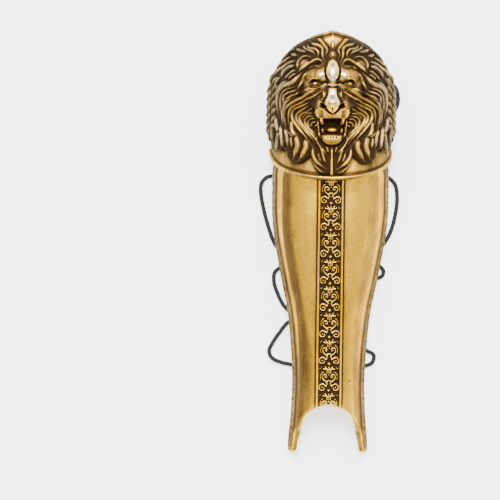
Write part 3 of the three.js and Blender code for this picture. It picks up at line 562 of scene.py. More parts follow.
def hair_strokes():
    """The strands and flank locks, and the fine partings beside them."""
    strands, partings = [], []
    for half, high, points in STRANDS:
        wider = STRAND_WIDER[0] if points[-1][1] < CROWN_END else STRAND_WIDER[1]
        strands.append(dict(line=flat(points), half=half * wider, high=high * STRAND_HIGHER, power=1.1))
        if half >= PARTED_HALF_WIDTH:
            line = spline(flat(points))
            ahead = np.gradient(line, axis=0)
            ahead /= np.maximum(np.linalg.norm(ahead, axis=1, keepdims=True), 1e-9)
            beside = line + ahead[:, ::-1] * [0.42 * half, -0.42 * half]
            partings.append(dict(line=beside[::3], half=0.55, high=0.16))
    for across, first in FLANK_COLUMNS:
        for down in np.arange(first, FLANK_END, FLANK_PITCH):
            lock = np.array(FLANK_LOCK) + (across, down)
            strands.append(dict(line=lock, half=3.1, high=0.5, root=0.15, tip=0.6, power=0.9))
            partings.append(dict(line=lock[:4] + (-0.4, 0.9), half=0.75, high=0.2))
    return strands, partings


def mask_face(r):
    """Heights of the head's masses, flats, eyes, ridges and grooves."""
    face = sum(mass(r, *form) for form in [*MASSES, EYE])
    for slope, high, outline in FLATS:
        face += high * r.inside(mirrored(flat(outline)), slope)
    face -= EYE_SINK * r.inside(flat(EYE_OUTLINE), 0.7)
    face += r.highest(strokes_of(FACE_RIDGES, root=0.25, tip=0.25))
    return face - r.highest(strokes_of(FACE_GROOVES, root=0.3, tip=0.3))


def with_mouth(r, high):
    """The heights with the open mouth sunk into them, and its tongue and fangs."""
    mouth = r.inside(mirrored(flat(MOUTH)), 1.0)
    low_mass = np.maximum(mass(r, *TONGUE), mass(r, *LOWER_FANG))
    upper = mass(r, *UPPER_FANG)
    high = high * (1 - mouth) + MOUTH_FLOOR * mouth
    high = np.maximum(high, MOUTH_FLOOR + low_mass * (mouth > 0.3))
    return np.maximum(high, np.where(upper > 0, FANG_FOOT + upper, 0))


def mask_relief():
    """The lion's mask and the plate's plain relief, apart from its rims."""
    r = Relief(108, -3, 152, 0.3)
    edge = mirrored(np.vstack([flat(MANE_TOP), MANE_FLANK, flat(MANE_LOBES)]))
    over_head = mass(r, *SKULL) - 0.6
    strands, partings = hair_strokes()
    hair = r.highest(strands)
    high = 0.75 + 0.5 * (over_head + np.abs(over_head)) + hair + mask_face(r) - r.highest(partings)
    r.h = with_mouth(r, high) * r.inside(edge, 1.3)

    beard = r.highest([dict(line=BEARD, half=1.7, high=0.75, tip=0.04)])
    keel = r.highest([
        dict(line=UPPER_KEEL, half=1.6, high=0.6, root=0.01),
        dict(line=LOWER_KEEL, half=1.7, high=0.35),
    ])
    knob = mass(r, *KNOB)
    for form in ((beard + 0.7) * (beard > 0), keel, knob):
        r.h = np.maximum(r.h, form)

    near = r.hollow(1.6, 0.4) / 0.22 + 0.6 * r.hollow(4.5, 0.8) / 0.5
    ear = mass(r, *EAR)
    bare = np.maximum(r.inside(mirrored(flat(FACE_OUTLINE)), 3.0), ear) * (1 - np.clip(hair / 0.3, 0, 1))
    # Painted highlights on the forehead, the middle of the brow, the nose bridge and the inner brows: they
    # brighten the metal and pale its colour
    painted_highlight_domes = np.maximum(mass(r, *FOREHEAD), mass(r, *BROW_MIDDLE))
    nose, brow = r.inside(mirrored(flat(NOSE_BRIDGE)), 0.8), r.inside(flat(INNER_BROW), 0.8)
    r.polish = np.max([painted_highlight_domes, nose, 0.9 * brow], axis=0)
    gold = np.maximum(mass(r, *MUZZLE), mass(r, *CHIN))
    whiskers = mass(r, *WHISKERS)
    near = np.maximum(near, -0.85) - 0.8 * ear - 1.3 * r.polish + 0.1 * gold + 0.9 * whiskers
    locks = 0.88 - 1.12 * np.clip(np.maximum(hair, beard * 0.8) / 0.55, 0, 1) + 0.4 * near
    within = np.clip(r.inside(edge, 0.8) * 1.3, 0, 1)
    low_side = smoothstep(np.abs(r.uu), 22, 48) * (r.vv > 100)
    rest = np.clip(0.6 * near, -0.5, 0.6) + 0.45 * low_side - 0.65
    r.cavity = within * (bare * near + (1 - bare) * locks) + (1 - within) * rest
    r.cavity = np.where(np.maximum(keel, knob) > 0.1, near - 0.5, r.cavity)
    r.cavity -= 0.9 * (beard > 0.15) * (r.vv > 128)
    return r


mask = mask_relief()
mask_smooth = mask.blurred(2.5)

# Meshes. A value of patina and painted light per point darkens the metal, below 0 it brightens it: the real
# patina of the hollows and the rubbed crests, and also painted shade and painted highlights.

RIM_SHADOW = 0.9
LOW_RIM_RUB, TOP_RIM_RUB = 0.55, 0.1
# Painted shade on the knee plate's flanks, deeper on the -X side
LEFT_FLANK_SHADE, RIGHT_FLANK_SHADE = 0.42, 0.2
# Painted shade beside both side rims of the shin
SIDE_PAINTED_SHADE = 0.45
# Painted shade beside the shin's side rims, deep on the -X side and faint on the +X side
LEFT_SIDE_SHADE, RIGHT_SIDE_SHADE = 0.95, 0.35
PIT_DIRT = 2.2
GRAIN_HEIGHT, GRAIN_DIRT = 0.22, 2.2
ARCH_LIP_RUB = 0.9
# Shares of the bleaker colour: an even grey tone, the painted sheen of the outer hair and the painted
# reflection of the flanks; then the pale colour of the painted highlights and the grey of the shin's side
# rims
PLAIN_SILVER, HAIR_PAINTED_SHEEN, FLANK_PAINTED_REFLECTION = 0.09, 0.55, 0.8
PAINTED_HIGHLIGHT_PALENESS, SIDE_RIM_SILVER = 0.6, 0.8
INSIDE_CAVITY = 0.7
BACK_CAVITY = 0.2
LOOP_CAVITY = 0.5
STUD_CAVITY = 0.4
COP_LIP = (0.14, -0.5)  # bulge in mm, cavity
SHIN_LIP = (0.12, -0.6)
COP_GRID = (276, 312)  # rows and columns
COP_INNER_GRID = (40, 48)
SHIN_ROWS = 330
SHIN_INNER_GRID = (60, 61)
BAND_COLUMNS = np.linspace(0, 2.9, 36)  # mm from the middle
PANEL_COLUMNS = 65
RIM_COLUMNS = np.linspace(1.9, 0, 20)  # mm over the back edge
SHIN_COLUMNS = len(BAND_COLUMNS) + PANEL_COLUMNS + len(RIM_COLUMNS)
BAND_GRID = (600, 100)
FIELD_HALF_WIDTH = 1.96  # mm
PIT_AT = (4.0, -26.3)
PIT_SPREAD = (0.08, 0.2)


def mesh_object(name, points, quads, attributes=(), ends=()):
    """An object from points in mm."""
    mesh = bpy.data.meshes.new(name)
    points = np.asarray(points, float).reshape(-1, 3)
    faces = [*map(tuple, np.asarray(quads).reshape(-1, 4).tolist()), *map(tuple, ends)]
    mesh.from_pydata((points * MM).tolist(), [], faces)
    for key, values in attributes:
        layer = mesh.attributes.new(key, "FLOAT", "POINT")
        layer.data.foreach_set("value", np.asarray(values, np.float32).ravel())
    mesh.polygons.foreach_set("use_smooth", [True] * len(mesh.polygons))
    mesh.update()
    obj = bpy.data.objects.new(name, mesh)
    bpy.context.scene.collection.objects.link(obj)
    return obj


def grid_quads(rows, columns, first=0, flip=False, closed=False):
    """Faces of a grid of points."""
    i, j = np.meshgrid(np.arange(rows - 1), np.arange(columns if closed else columns - 1), indexing="ij")
    a = first + i * columns + j
    b = first + i * columns + (j + 1) % columns
    quads = np.stack([a, b, b + columns, a + columns], -1).reshape(-1, 4)
    return quads[:, ::-1] if flip else quads


class Body:
    """Grids of points gathered into one mesh, with a value of patina and painted light and a value of grey
    tone and painted sheen per point.
    """

    def __init__(self):
        self.points, self.quads, self.cavity, self.silver, self.count = [], [], [], [], 0

    def add(self, grid, cavity=0.0, silver=0.0, flip=False, closed=False):
        rows, columns = grid.shape[:2]
        self.points.append(grid.reshape(-1, 3))
        self.cavity.append(np.broadcast_to(cavity, (rows, columns)).ravel())
        self.silver.append(np.broadcast_to(silver, (rows, columns)).ravel())
        self.quads.append(grid_quads(rows, columns, self.count, flip, closed))
        self.count += rows * columns

    def make(self, name):
        values = [("cavity", np.concatenate(self.cavity)), ("silver", np.concatenate(self.silver))]
        return mesh_object(name, np.vstack(self.points), np.vstack(self.quads), values)


# Shares of the way from the outer skin to the inner one
EDGE_ROUNDING = np.array([0, 0.06, 0.2, 0.4, 0.6, 0.8, 0.94, 1])


def edge_strip(outer, inner, beyond, bulge, outer_cavity):
    """Rounded edge between the outer and the inner skin."""
    t = EDGE_ROUNDING[:, None, None]
    out = beyond / np.maximum(np.linalg.norm(beyond, axis=-1, keepdims=True), 1e-9)
    strip = outer * (1 - t) + inner * t + out * bulge * np.sqrt(np.clip(1 - (2 * t - 1) ** 2, 0, 1))
    return strip, outer_cavity * (1 - EDGE_ROUNDING[:, None])


def closed_shell(outer, inner, cavity, silver, coarse, bulge, lip_cavity):
    """A body of an outer skin, a coarser inner one and the edges between them."""
    body = Body()
    body.add(outer, cavity, silver)
    rows, columns = (np.linspace(0, n - 1, few).astype(int) for n, few in zip(outer.shape, coarse))
    body.add(inner[np.ix_(rows, columns)], INSIDE_CAVITY, flip=True)
    for row, inward, flip in ((0, 1, True), (-1, -2, False)):
        strip, value = edge_strip(outer[row], inner[row], outer[row] - outer[inward], bulge, lip_cavity)
        body.add(strip, value, flip=flip)
    for column, flip in ((0, False), (-1, True)):
        side = outer[:, column]
        strip, value = edge_strip(side, inner[:, column], 0 * side, 0, BACK_CAVITY)
        body.add(strip, value, flip=flip)
    return body


def add_loops(body, places):
    """Cast loops: thick washers with rounded edges, their eyes along Y."""
    around = np.linspace(0, 2 * math.pi, 14, endpoint=False)
    turn = np.linspace(0, 2 * math.pi, 37)[:, None]
    out, up = (np.sign(wave) * np.abs(wave) ** 0.5 for wave in (np.cos(around), np.sin(around)))
    radius = (LOOP_RADIUS + LOOP_HOLE_RADIUS) / 2 + (LOOP_RADIUS - LOOP_HOLE_RADIUS) / 2 * out
    height = LOOP_THICKNESS / 2 * up
    washer = np.stack([radius * np.cos(turn), height + 0 * turn, radius * np.sin(turn)], -1)
    for centre in places:
        body.add(washer + centre, LOOP_CAVITY, closed=True)


def lathe_on(foot, axis, profile, segments=32):
    """A turned form that stands on a point along an axis. Profile rows are radius and height."""
    axis = axis / np.linalg.norm(axis)
    side = np.cross(axis, [0, 1, 0])
    side /= np.linalg.norm(side)
    other = np.cross(axis, side)
    turn = np.linspace(0, 2 * math.pi, segments, endpoint=False)
    ring = np.cos(turn)[:, None] * side + np.sin(turn)[:, None] * other
    return np.stack([foot + r * ring + h * axis for r, h in profile])


KNEE_LOOPS = [(way * 8.90, 25.80, LOOP_RISE) for way in (-1, 1)]
SHIN_LOOP_PLACES = ((7.93, 16.5), (7.56, -0.7), (3.88, -27.9))
SHIN_LOOPS = [(way * x, y, LOOP_RISE) for x, y in SHIN_LOOP_PLACES for way in (-1, 1)]
# Shares of the stud head's radius and thickness
STUD_HEAD = [(0.9, 0), (1, 0.2), (0.96, 0.5), (0.8, 0.78), (0.5, 0.95)]


def bump(value, middle, half):
    """1 at a middle, falling straight to 0 on both sides."""
    return np.clip(1 - np.abs(value - middle) / half, 0, 1)


def rim_height(distance, rim):
    """A rolled rim with a shallow groove inside it."""
    wide, high = rim
    crest = high * np.sqrt(np.clip(1 - (distance / wide - 0.42) ** 2 / 0.4, 0, 1))
    groove = smoothstep(distance, wide, 1.15 * wide) * (1 - smoothstep(distance, 1.5 * wide, 2.1 * wide))
    return np.where(distance < wide, crest, -0.14 * groove)


def stud(way):
    """Cast stud inside the lower edge, with a peened head."""
    a = np.array(way * math.radians(STUD_ANGLE))
    skin, under = (raised(cop_surface, a, cop_low(a) + LAP / 2, height) for height in (0, -WALL / 2))
    foot = 2 * WALL + LAP_GAP + STUD_CLEARANCE
    head = [(STUD_HEAD_RADIUS * r, foot + STUD_HEAD_THICKNESS * h) for r, h in STUD_HEAD]
    profile = [(STUD_RADIUS, WALL / 2), (STUD_RADIUS, foot), *head, (0.01, foot + STUD_HEAD_THICKNESS)]
    return lathe_on(skin, under - skin, profile)


def cop_silver(across, girth, down, seen, free):
    """Share of the bleaker colour on the knee plate: an even grey tone, a painted sheen on its outer hair, a
    painted reflection on its flanks and the pale colour of the painted highlights of the face.
    """
    outer_hair = smoothstep(np.hypot(across / 58, (seen - 88) / 80), 0.62, 1.0) * smoothstep(across, 10, 26)
    around_ear = 1 - smoothstep(np.hypot((across - 29) / 9, (seen - 35) / 10), 0.8, 1.3)
    above_low_edge = 1 - smoothstep(down, 112, 122)
    hair = PLAIN_SILVER + HAIR_PAINTED_SHEEN * outer_hair * above_low_edge * (1 - 0.5 * around_ear)
    flank = FLANK_PAINTED_REFLECTION * smoothstep(girth, 60, 72) * free * (1 - smoothstep(down, 116, 126))
    return np.max([hair, flank, PAINTED_HIGHLIGHT_PALENESS * mask.sample(mask.polish, girth, seen)], axis=0)


def make_cop():
    rows, columns = COP_GRID
    share = np.linspace(-1, 1, columns)[None, :]
    low, high = cop_low(share * BACK_EDGE), cop_top(share * BACK_EDGE)
    y = low + (high - low) * np.linspace(0, 1, rows)[:, None]
    angle = share * cop_edge_angle(y)
    plain = cop_surface(angle, y)
    normal = raised(cop_surface, angle, y, 1) - plain
    down = (APEX_Y - y) / SQUARE
    girth = cop_share(down) * np.interp(np.abs(angle), girth_angles, girth_at) / SQUARE
    # Squares down, where each point of the raised surface stands in the front view
    seen = down
    for _ in range(4):
        place = plain + normal * mask.sample(mask_smooth, girth, seen)[..., None]
        leaning = (place[..., 2] - MASK_LEVEL) / CAMERA_AT[2] * (place[..., 1] - CAMERA_AT[1])
        seen = (APEX_Y - place[..., 1] - leaning) / SQUARE

    from_low, from_top = y - low, high - y
    near_rim = np.minimum(from_low / LOW_RIM[0], from_top / TOP_RIM[0])
    free = smoothstep(near_rim, 1.0, 1.5)
    rims = rim_height(from_low, LOW_RIM) + rim_height(from_top, TOP_RIM)
    outer = raised(cop_surface, angle, y, mask.sample(mask.h, girth, seen) * free + rims)
    inner = raised(cop_surface, angle, y, -WALL)
    for skin in (outer, inner):
        skin[:, [0, -1], 2] = plain[:, [0, -1], 2]

    rubbed_rim = np.where(from_low < from_top, LOW_RIM_RUB, TOP_RIM_RUB) * (near_rim < 0.95)
    flank = smoothstep(girth, 56, 66) * free
    # Painted shade on the flanks, deeper on the -X side
    flank_painted_shade = np.where(angle < 0, LEFT_FLANK_SHADE, RIGHT_FLANK_SHADE) * flank
    cavity = mask.sample(mask.cavity, girth, seen) * free + RIM_SHADOW * bump(near_rim, 1.35, 0.5)
    cavity = cavity - rubbed_rim + flank_painted_shade
    silver = cop_silver(np.abs(outer[..., 0]) / SQUARE, girth, down, seen, free)
    body = closed_shell(outer, inner, cavity, silver, COP_INNER_GRID, *COP_LIP)
    add_loops(body, KNEE_LOOPS)
    for way in (-1, 1):
        body.add(stud(way), STUD_CAVITY, closed=True)
    return body.make("knee_plate")


# Scroll ornament: one unit between two pearls, in mm across from the middle and down from its pearl.
# Domes are across, down, wide, tall and high. Strokes are half width, height and points.
SCROLL_DOMES = [
    (0, 0, 0.34, 0.3, 0.5),
    (0, PEARL_PITCH, 0.34, 0.3, 0.5),
    (0, 2.13, 0.16, 0.16, 0.36),
    (0.74, 2.5, 0.17, 0.17, 0.36),
    (1.3, 4.47, 0.19, 0.19, 0.36),
]
SCROLL_STROKES = [
    (0.17, 0.4, [(0, 1.3), (0, 0.95), (0, 0.5)]),
    (0.16, 0.38, [(0.1, 1.22), (0.42, 0.95), (0.78, 0.45)]),
    (0.15, 0.34, [(0.16, 1.28), (0.6, 1.06), (1.22, 0.98)]),
    (0.17, 0.36, [(0.1, 1.15), (0.36, 1.4), (0.26, 1.9)]),
    (0.15, 0.36, [(0, 1.15), (0, 1.5), (0, 1.95)]),
    (0.11, 0.24, [(1.02, 1.5), (1.42, 1.85), (1.62, 2.45), (1.5, 3.2)]),
    (0.1, 0.18, [(1.4, 0.72), (1.62, 1.0), (1.82, 0.85)]),
    (0.15, 0.4, [(0.78, 2.66), (0.52, 2.62), (0.4, 2.36), (0.56, 2.08), (0.88, 2.02), (1.18, 2.28),
                 (1.2, 2.68), (0.98, 3.04), (0.62, 3.34), (0.3, 3.66), (0.2, 3.95)]),
    (0.12, 0.32, [(0, 3.2), (0.24, 3.24), (0.44, 3.42)]),
    (0.16, 0.34, [(0.2, 3.6), (0.42, 4.0), (0.62, 4.3)]),
    (0.16, 0.4, [(0.3, 4.36), (0.66, 4.16), (1.02, 3.88), (1.44, 3.88), (1.8, 4.28), (1.72, 4.8),
                 (1.34, 5.06), (0.94, 4.88), (0.9, 4.52), (1.12, 4.3)]),
]

scroll = Relief(2.1, -0.6, PEARL_PITCH + 0.6, 0.03)
scroll_lines = scroll.highest(strokes_of(SCROLL_STROKES, np.array, root=0.06, tip=0.12))
scroll.h = np.max([scroll_lines, *(scroll.dome(*form, 0, 0.6) for form in SCROLL_DOMES)], axis=0)
scroll_cavity = scroll.hollow(0.16, 0.2) / 0.11


def depth_at(x, half_width, depth):
    """Depth of a section at a distance from its middle."""
    return depth * (1 - np.clip(np.abs(x) / half_width, 0, 0.999) ** SQUARENESS) ** (1 / SQUARENESS)


def make_band():
    """The sunk field between the long beads, with its scrolls."""
    rows, columns = BAND_GRID
    low, high = TIP_Y + ARCH_HEIGHT - 0.1, COP_LOW_Y + 0.6
    x, y = np.meshgrid(np.linspace(-1, 1, columns) * FIELD_HALF_WIDTH, np.linspace(low, high, rows))
    down = np.mod(COP_LOW_Y - FIRST_PEARL - y, PEARL_PITCH)
    ornament = scroll.sample(scroll.h, x, down)
    height = ornament * smoothstep(y, low + 0.6, low + 0.9) - BAND_SINK
    height -= 0.02 * smoothstep(np.abs(x), FIELD_HALF_WIDTH - 0.12, FIELD_HALF_WIDTH)
    cavity = 1.15 + 0.5 * scroll.sample(scroll_cavity, x, down)
    cavity -= 1.75 * np.clip(ornament / 0.3, 0, 1) ** 1.2
    body = Body()
    angle = np.arctan2(x, depth_at(x, *shin_section(y)[:2]))
    body.add(raised(shin_surface, angle, y, height), cavity)
    return body.make("scroll_band")


def shin_relief(x, rise):
    """Height, and the value of patina and painted shade, across the shin by distance from the middle and rise
    above the back edge.
    """
    beside = np.abs(x) - BAND_HALF_WIDTH
    bead = np.clip(1 - (beside / BEAD_HALF_WIDTH) ** 2, 0, 1)
    field = 1 - smoothstep(beside, -1.5 * BEAD_HALF_WIDTH, -BEAD_HALF_WIDTH)
    height = BEAD_HEIGHT * np.sqrt(bead) - (BAND_SINK + 0.05) * field
    shade = 0.85 * np.exp(-np.clip(beside - 0.3, 0, None) / 0.5)
    cavity = 1.8 * bump(np.abs(beside), 0.38, 0.22) - 0.8 * bead + shade
    wide, high = SIDE_RIM
    crest = side_crest(rise)
    height = height + high * crest * (0.85 + 0.15 * np.sin(np.clip(rise / wide, 0, 1) * math.pi))
    height -= 0.16 * bump(rise, 1.25 * wide, 0.3 * wide)
    shadow = smoothstep(rise, wide, 1.2 * wide) * (1 - smoothstep(rise, 2.2 * wide, 3.6 * wide))
    return height, cavity + 1.5 * shadow + 0.6 * crest


def side_crest(rise):
    """1 on the side rim, 0 inside it."""
    return smoothstep(rise, 1.05 * SIDE_RIM[0], 0.8 * SIDE_RIM[0])


def side_shade_and_pit(x, y, out):
    """Painted shade beside the side rims, darker on the -X side, and the dirt of a casting pit."""
    ankle = smoothstep(-y, 8, 28)
    dark = smoothstep(out, 0.63 - 0.28 * ankle, 0.78 - 0.1 * ankle) * (1 - smoothstep(out, 0.85, 0.88))
    light = smoothstep(out, 0.58, 0.78) * (1 - smoothstep(out, 0.84, 0.88))
    pit = 1 - smoothstep(np.hypot(x - PIT_AT[0], y - PIT_AT[1]), *PIT_SPREAD)
    return PIT_DIRT * pit + LEFT_SIDE_SHADE * dark * (x < 0) + RIGHT_SIDE_SHADE * light * (x > 0)


def shin_angles(y):
    """Angles of the right half's columns: even steps over the band, the panel, then the side rim."""
    half_width, depth, lift = (np.asarray(v)[..., None] for v in shin_section(y))
    front = np.arctan2(BAND_COLUMNS + 0 * half_width, depth_at(BAND_COLUMNS, half_width, depth))
    rim = np.arctan2(half_width, lift + RIM_COLUMNS)
    t = np.linspace(0, 1, PANEL_COLUMNS + 2)[1:-1]
    panel = front[..., -1:] * (1 - t) + rim[..., :1] * t
    return np.concatenate([front, panel, rim], -1)


def meeting(edge, first):
    """Where each column meets an edge of the shell."""
    y = np.full(SHIN_COLUMNS, float(first))
    for _ in range(5):
        y = edge(np.diagonal(shin_angles(y)))
    return y


def both_halves(right):
    """A field or a grid of points of the right half, with its mirror image."""
    left = right[:, :0:-1]
    return np.concatenate([left * [-1, 1, 1] if left.ndim == 3 else left, right], 1)


def make_shin():
    low, high = meeting(shin_low, TIP_Y + ARCH_HEIGHT / 2), meeting(shin_top, COP_LOW_Y)
    y = low + (high - low) * np.linspace(0, 1, SHIN_ROWS)[:, None]
    angle = np.stack([shin_angles(y[:, c])[:, c] for c in range(SHIN_COLUMNS)], 1)
    plain = shin_surface(angle, y)
    rise = plain[..., 2] - shin_section(y)[2]
    crest = side_crest(rise)
    grain = blur(rng.random(y.shape) - 0.5, 0.8) * crest
    out = plain[..., 0] / plain[:, -1:, 0]
    height, cavity = shin_relief(plain[..., 0], rise)
    height = height + GRAIN_HEIGHT * grain
    # Painted shade beside both side rims
    cavity = cavity + SIDE_PAINTED_SHADE * smoothstep(out, 0.6, 0.76) - GRAIN_DIRT * grain
    bare = 1 - smoothstep(y - cop_low(angle), -0.2, 0.2)
    cavity = cavity * bare - ARCH_LIP_RUB * bump(y - low, 0.3, 0.5)
    right, right_inner = (raised(shin_surface, angle, y, h) for h in (height * bare, -WALL))
    for skin in (right, right_inner):
        skin[:, -1, 2] = plain[:, -1, 2]
    outer = both_halves(right)
    # Painted shade beside the side rims, and the dirt of a casting pit
    cavity = both_halves(cavity) + side_shade_and_pit(outer[..., 0], outer[..., 1], both_halves(out))
    inner, silver = both_halves(right_inner), both_halves(SIDE_RIM_SILVER * crest)
    body = closed_shell(outer, inner, cavity, silver, SHIN_INNER_GRID, *SHIN_LIP)
    add_loops(body, SHIN_LOOPS)
    return body.make("shin_shell")


# Cords, from knot to knot in mm

CORD_ROUTES = {
    "knee": [
        (8.9, 24, 2.7), (8.9, 25.8, 2.7), (8.9, 27, 2.65), (8.95, 28.3, 1.6), (9.5, 29.6, 0.5),
        (10.8, 30.3, 0.42), (12.1, 29.5, 0.42), (12.7, 27.8, 0.42), (12.6, 26.2, 0.42), (11.9, 24.9, 0.42),
        (10.5, 24.3, 0.42), (7.6, 23.2, 0.42), (0, 21.4, 0.42), (-5, 21.1, 0.42), (-8, 21.9, 0.6),
        (-8.8, 23.2, 1.7), (-8.9, 24.5, 2.65), (-8.9, 25.8, 2.7), (-8.9, 27.6, 2.7),
    ],
    "upper_calf": [
        (-7.95, 18.3, 2.7), (-7.95, 16.5, 2.7), (-7.95, 15.2, 2.65), (-8.1, 14, 1.6), (-8.9, 12.9, 0.5),
        (-10.6, 12.5, 0.42), (-12.2, 12, 0.42), (-13.1, 10.9, 0.42), (-13.2, 9.2, 0.42),
        (-12.6, 5.9, 0.42), (-11.6, 2.4, 0.42), (-10.4, -0.6, 0.42), (-8.6, -2.3, 0.42),
        (-4.5, -3.3, 0.42), (0, -3.6, 0.42), (4.5, -3.2, 0.42), (8.4, -1.9, 0.42), (10.5, 0, 0.42),
        (11.6, 2.1, 0.42), (12.4, 5.1, 0.42), (12.75, 8.3, 0.42), (12.3, 11, 0.42), (10.8, 12.4, 0.42),
        (8.9, 12.9, 0.5), (8.1, 14, 1.6), (7.95, 15.2, 2.65), (7.95, 16.5, 2.7), (7.95, 18.3, 2.7),
    ],
    "lower_calf": [
        (-7.55, 1.1, 2.7), (-7.55, -0.7, 2.7), (-7.55, -2, 2.65), (-7.6, -3.2, 1.6), (-8.1, -4.4, 0.5),
        (-9.4, -5.1, 0.42), (-10.4, -6, 0.42), (-10.5, -7.9, 0.42), (-9.8, -10, 0.42),
        (-8.5, -12.4, 0.42), (-7.2, -13.4, 0.42), (-5.2, -13.1, 0.42), (0, -10.8, 0.42),
        (5, -8.6, 0.42), (8.6, -7.1, 0.42), (10, -6.5, 0.42), (10.3, -5.5, 0.42), (9.6, -4.7, 0.42),
        (8.2, -4.2, 0.5), (7.6, -3.2, 1.6), (7.55, -2, 2.65), (7.55, -0.7, 2.7), (7.55, 1.1, 2.7),
    ],
    "ankle": [
        (-3.9, -29.7, 2.7), (-3.9, -27.9, 2.7), (-3.9, -26.6, 2.65), (-4, -25.3, 1.6),
        (-4.7, -24, 0.5), (-6.4, -23.6, 0.42), (-8.9, -23.1, 0.42), (-10.7, -22.3, 0.42),
        (-11.3, -21, 0.42), (-10.6, -19.3, 0.42), (-9.4, -17.5, 0.42), (-7.9, -15.6, 0.42),
        (-6.5, -15, 0.42), (-4.4, -15.8, 0.42), (0, -18, 0.42), (4, -19.7, 0.42), (7, -20.6, 0.42),
        (8.6, -21.5, 0.42), (8.3, -23, 0.42), (6.6, -23.7, 0.42), (4.7, -24.2, 0.5),
        (4, -25.3, 1.6), (3.9, -26.6, 2.65), (3.9, -27.9, 2.7), (3.9, -29.7, 2.7),
    ],
}
CORD_STEP = 0.11
CORD_AROUND = 24
BRAID_STRANDS = 5
BRAID_PITCH = 1.5
BRAID_RELIEF = 0.035  # share of the radius
KNOT_TURN_RADIUS = 0.42
KNOT_SWING = 0.2
KNOT_CORD_RADIUS = 0.3
KNOTS = ((1, 0, 2.6), (2, -1, 4.5))  # number, end of the route, turn in radians


def even_steps(line, step):
    """Even points along a line and their distances from its start."""
    run = np.concatenate([[0], np.cumsum(np.linalg.norm(np.diff(line, axis=0), axis=1))])
    places = np.linspace(0, run[-1], int(run[-1] / step) + 1)
    return np.stack([np.interp(places, run, line[:, k]) for k in range(3)], 1), places


def tube(line, radius, around):
    """Rings along a line. Radius is one number or a grid of one per point of each ring."""
    tangent = np.gradient(line, axis=0)
    tangent /= np.linalg.norm(tangent, axis=1, keepdims=True)
    side = np.cross(tangent[0], [0.1, 0.2, 1.0])
    rings = []
    turn = np.linspace(0, 2 * math.pi, around, endpoint=False)
    radius = np.broadcast_to(radius, (len(line), around))
    for k, (point, along) in enumerate(zip(line, tangent)):
        side = side - along * (side @ along)
        side /= np.linalg.norm(side)
        other = np.cross(along, side)
        spokes = np.cos(turn)[:, None] * side + np.sin(turn)[:, None] * other
        rings.append(point + radius[k][:, None] * spokes)
    return np.array(rings)


def make_cord(name, points):
    line, places = even_steps(spline(points, 24, 0.5), CORD_STEP)
    around = np.linspace(0, 2 * math.pi, CORD_AROUND, endpoint=False)[None, :]
    along = places[:, None] * 2 * math.pi / BRAID_PITCH
    braid = np.maximum(*(np.cos(BRAID_STRANDS * around + way * along) for way in (1, -1)))
    rings = tube(line, CORD_DIAMETER / 2 * (1 + BRAID_RELIEF * (braid - 1)), CORD_AROUND)
    first = list(range(CORD_AROUND))
    ends = [first[::-1], [len(line) * CORD_AROUND - CORD_AROUND + k for k in first]]
    quads = grid_quads(len(line), CORD_AROUND, closed=True)
    return mesh_object(f"{name}_elastic", rings, quads, [("braid", braid)], ends), line


def make_knot(name, centre, turn):
    """Small overhand knot that stops a cord in its loop."""
    t = np.linspace(0, 2 * math.pi, 120)
    reach = KNOT_TURN_RADIUS + KNOT_SWING * np.cos(3 * t)
    line = np.stack([reach * np.cos(2 * t), 1.61 * KNOT_SWING * np.sin(3 * t), reach * np.sin(2 * t)], 1)
    c, s = math.cos(turn), math.sin(turn)
    line = line @ np.array([[c, 0, s], [0, 1, 0], [-s, 0, c]]) + centre
    rings = tube(line, KNOT_CORD_RADIUS, CORD_AROUND // 2)
    quads = grid_quads(len(line), CORD_AROUND // 2, closed=True)
    return mesh_object(name, rings, quads, [("braid", np.zeros(rings.shape[:2]))])


cords = []
for name, points in CORD_ROUTES.items():
    piece, cord_line = make_cord(name, points)
    knots = [make_knot(f"{name}_knot_{k}", points[end], turn) for k, end, turn in KNOTS]
    cords.extend([piece, *knots])
    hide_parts(f"{name}_cord")

knee_plate = make_cop()
shin_shell = make_shin()
scroll_band = make_band()
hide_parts("knee_cop")
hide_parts("shin_plate")

# Materials

# Colours from rubbed to dark, for the patina and also the painted shade and highlights: place, warm brass,
# bleaker metal for the grey tone and the painted sheen
PAINTED_LIGHT_AND_PATINA_COLOURS = [
    (0.0, (1.0, 0.67, 0.1), (0.98, 0.93, 0.78)),
    (0.22, (0.92, 0.5, 0.01), (0.5, 0.43, 0.31)),
    (0.4, (0.39, 0.215, 0.024), (0.27, 0.225, 0.155)),
    (0.55, (0.15, 0.086, 0.022), (0.12, 0.1, 0.068)),
    (0.7, (0.065, 0.034, 0.009), (0.042, 0.034, 0.023)),
    (0.85, (0.02, 0.01, 0.004), (0.012, 0.009, 0.006)),
]
SPECKS = [(0.0, (1, 1, 1)), (0.56, (1, 1, 1)), (0.66, (0.28, 0.2, 0.14))]
ELASTIC = [(0, (0.004, 0.004, 0.0045)), (1, (0.018, 0.018, 0.02))]
PAPER = [(0, (0.9, 0.9, 0.9)), (1, (0.93, 0.93, 0.93))]
NOISE_SPAN = (0.3, 0.7)  # where most of a noise lies
CLOUDS, STREAKS, GRAIN, SPECK_NOISE, FUZZ, PAPER_NOISE = 220, 900, 5200, 4200, 9000, 60  # per metre
GRAIN_CLOUDING = 0.06
PAPER_GLOW = 1.7
FINE_BUMP, CLOUD_BUMP, FUZZ_BUMP = 0.00004, 0.0003, 0.00003  # m


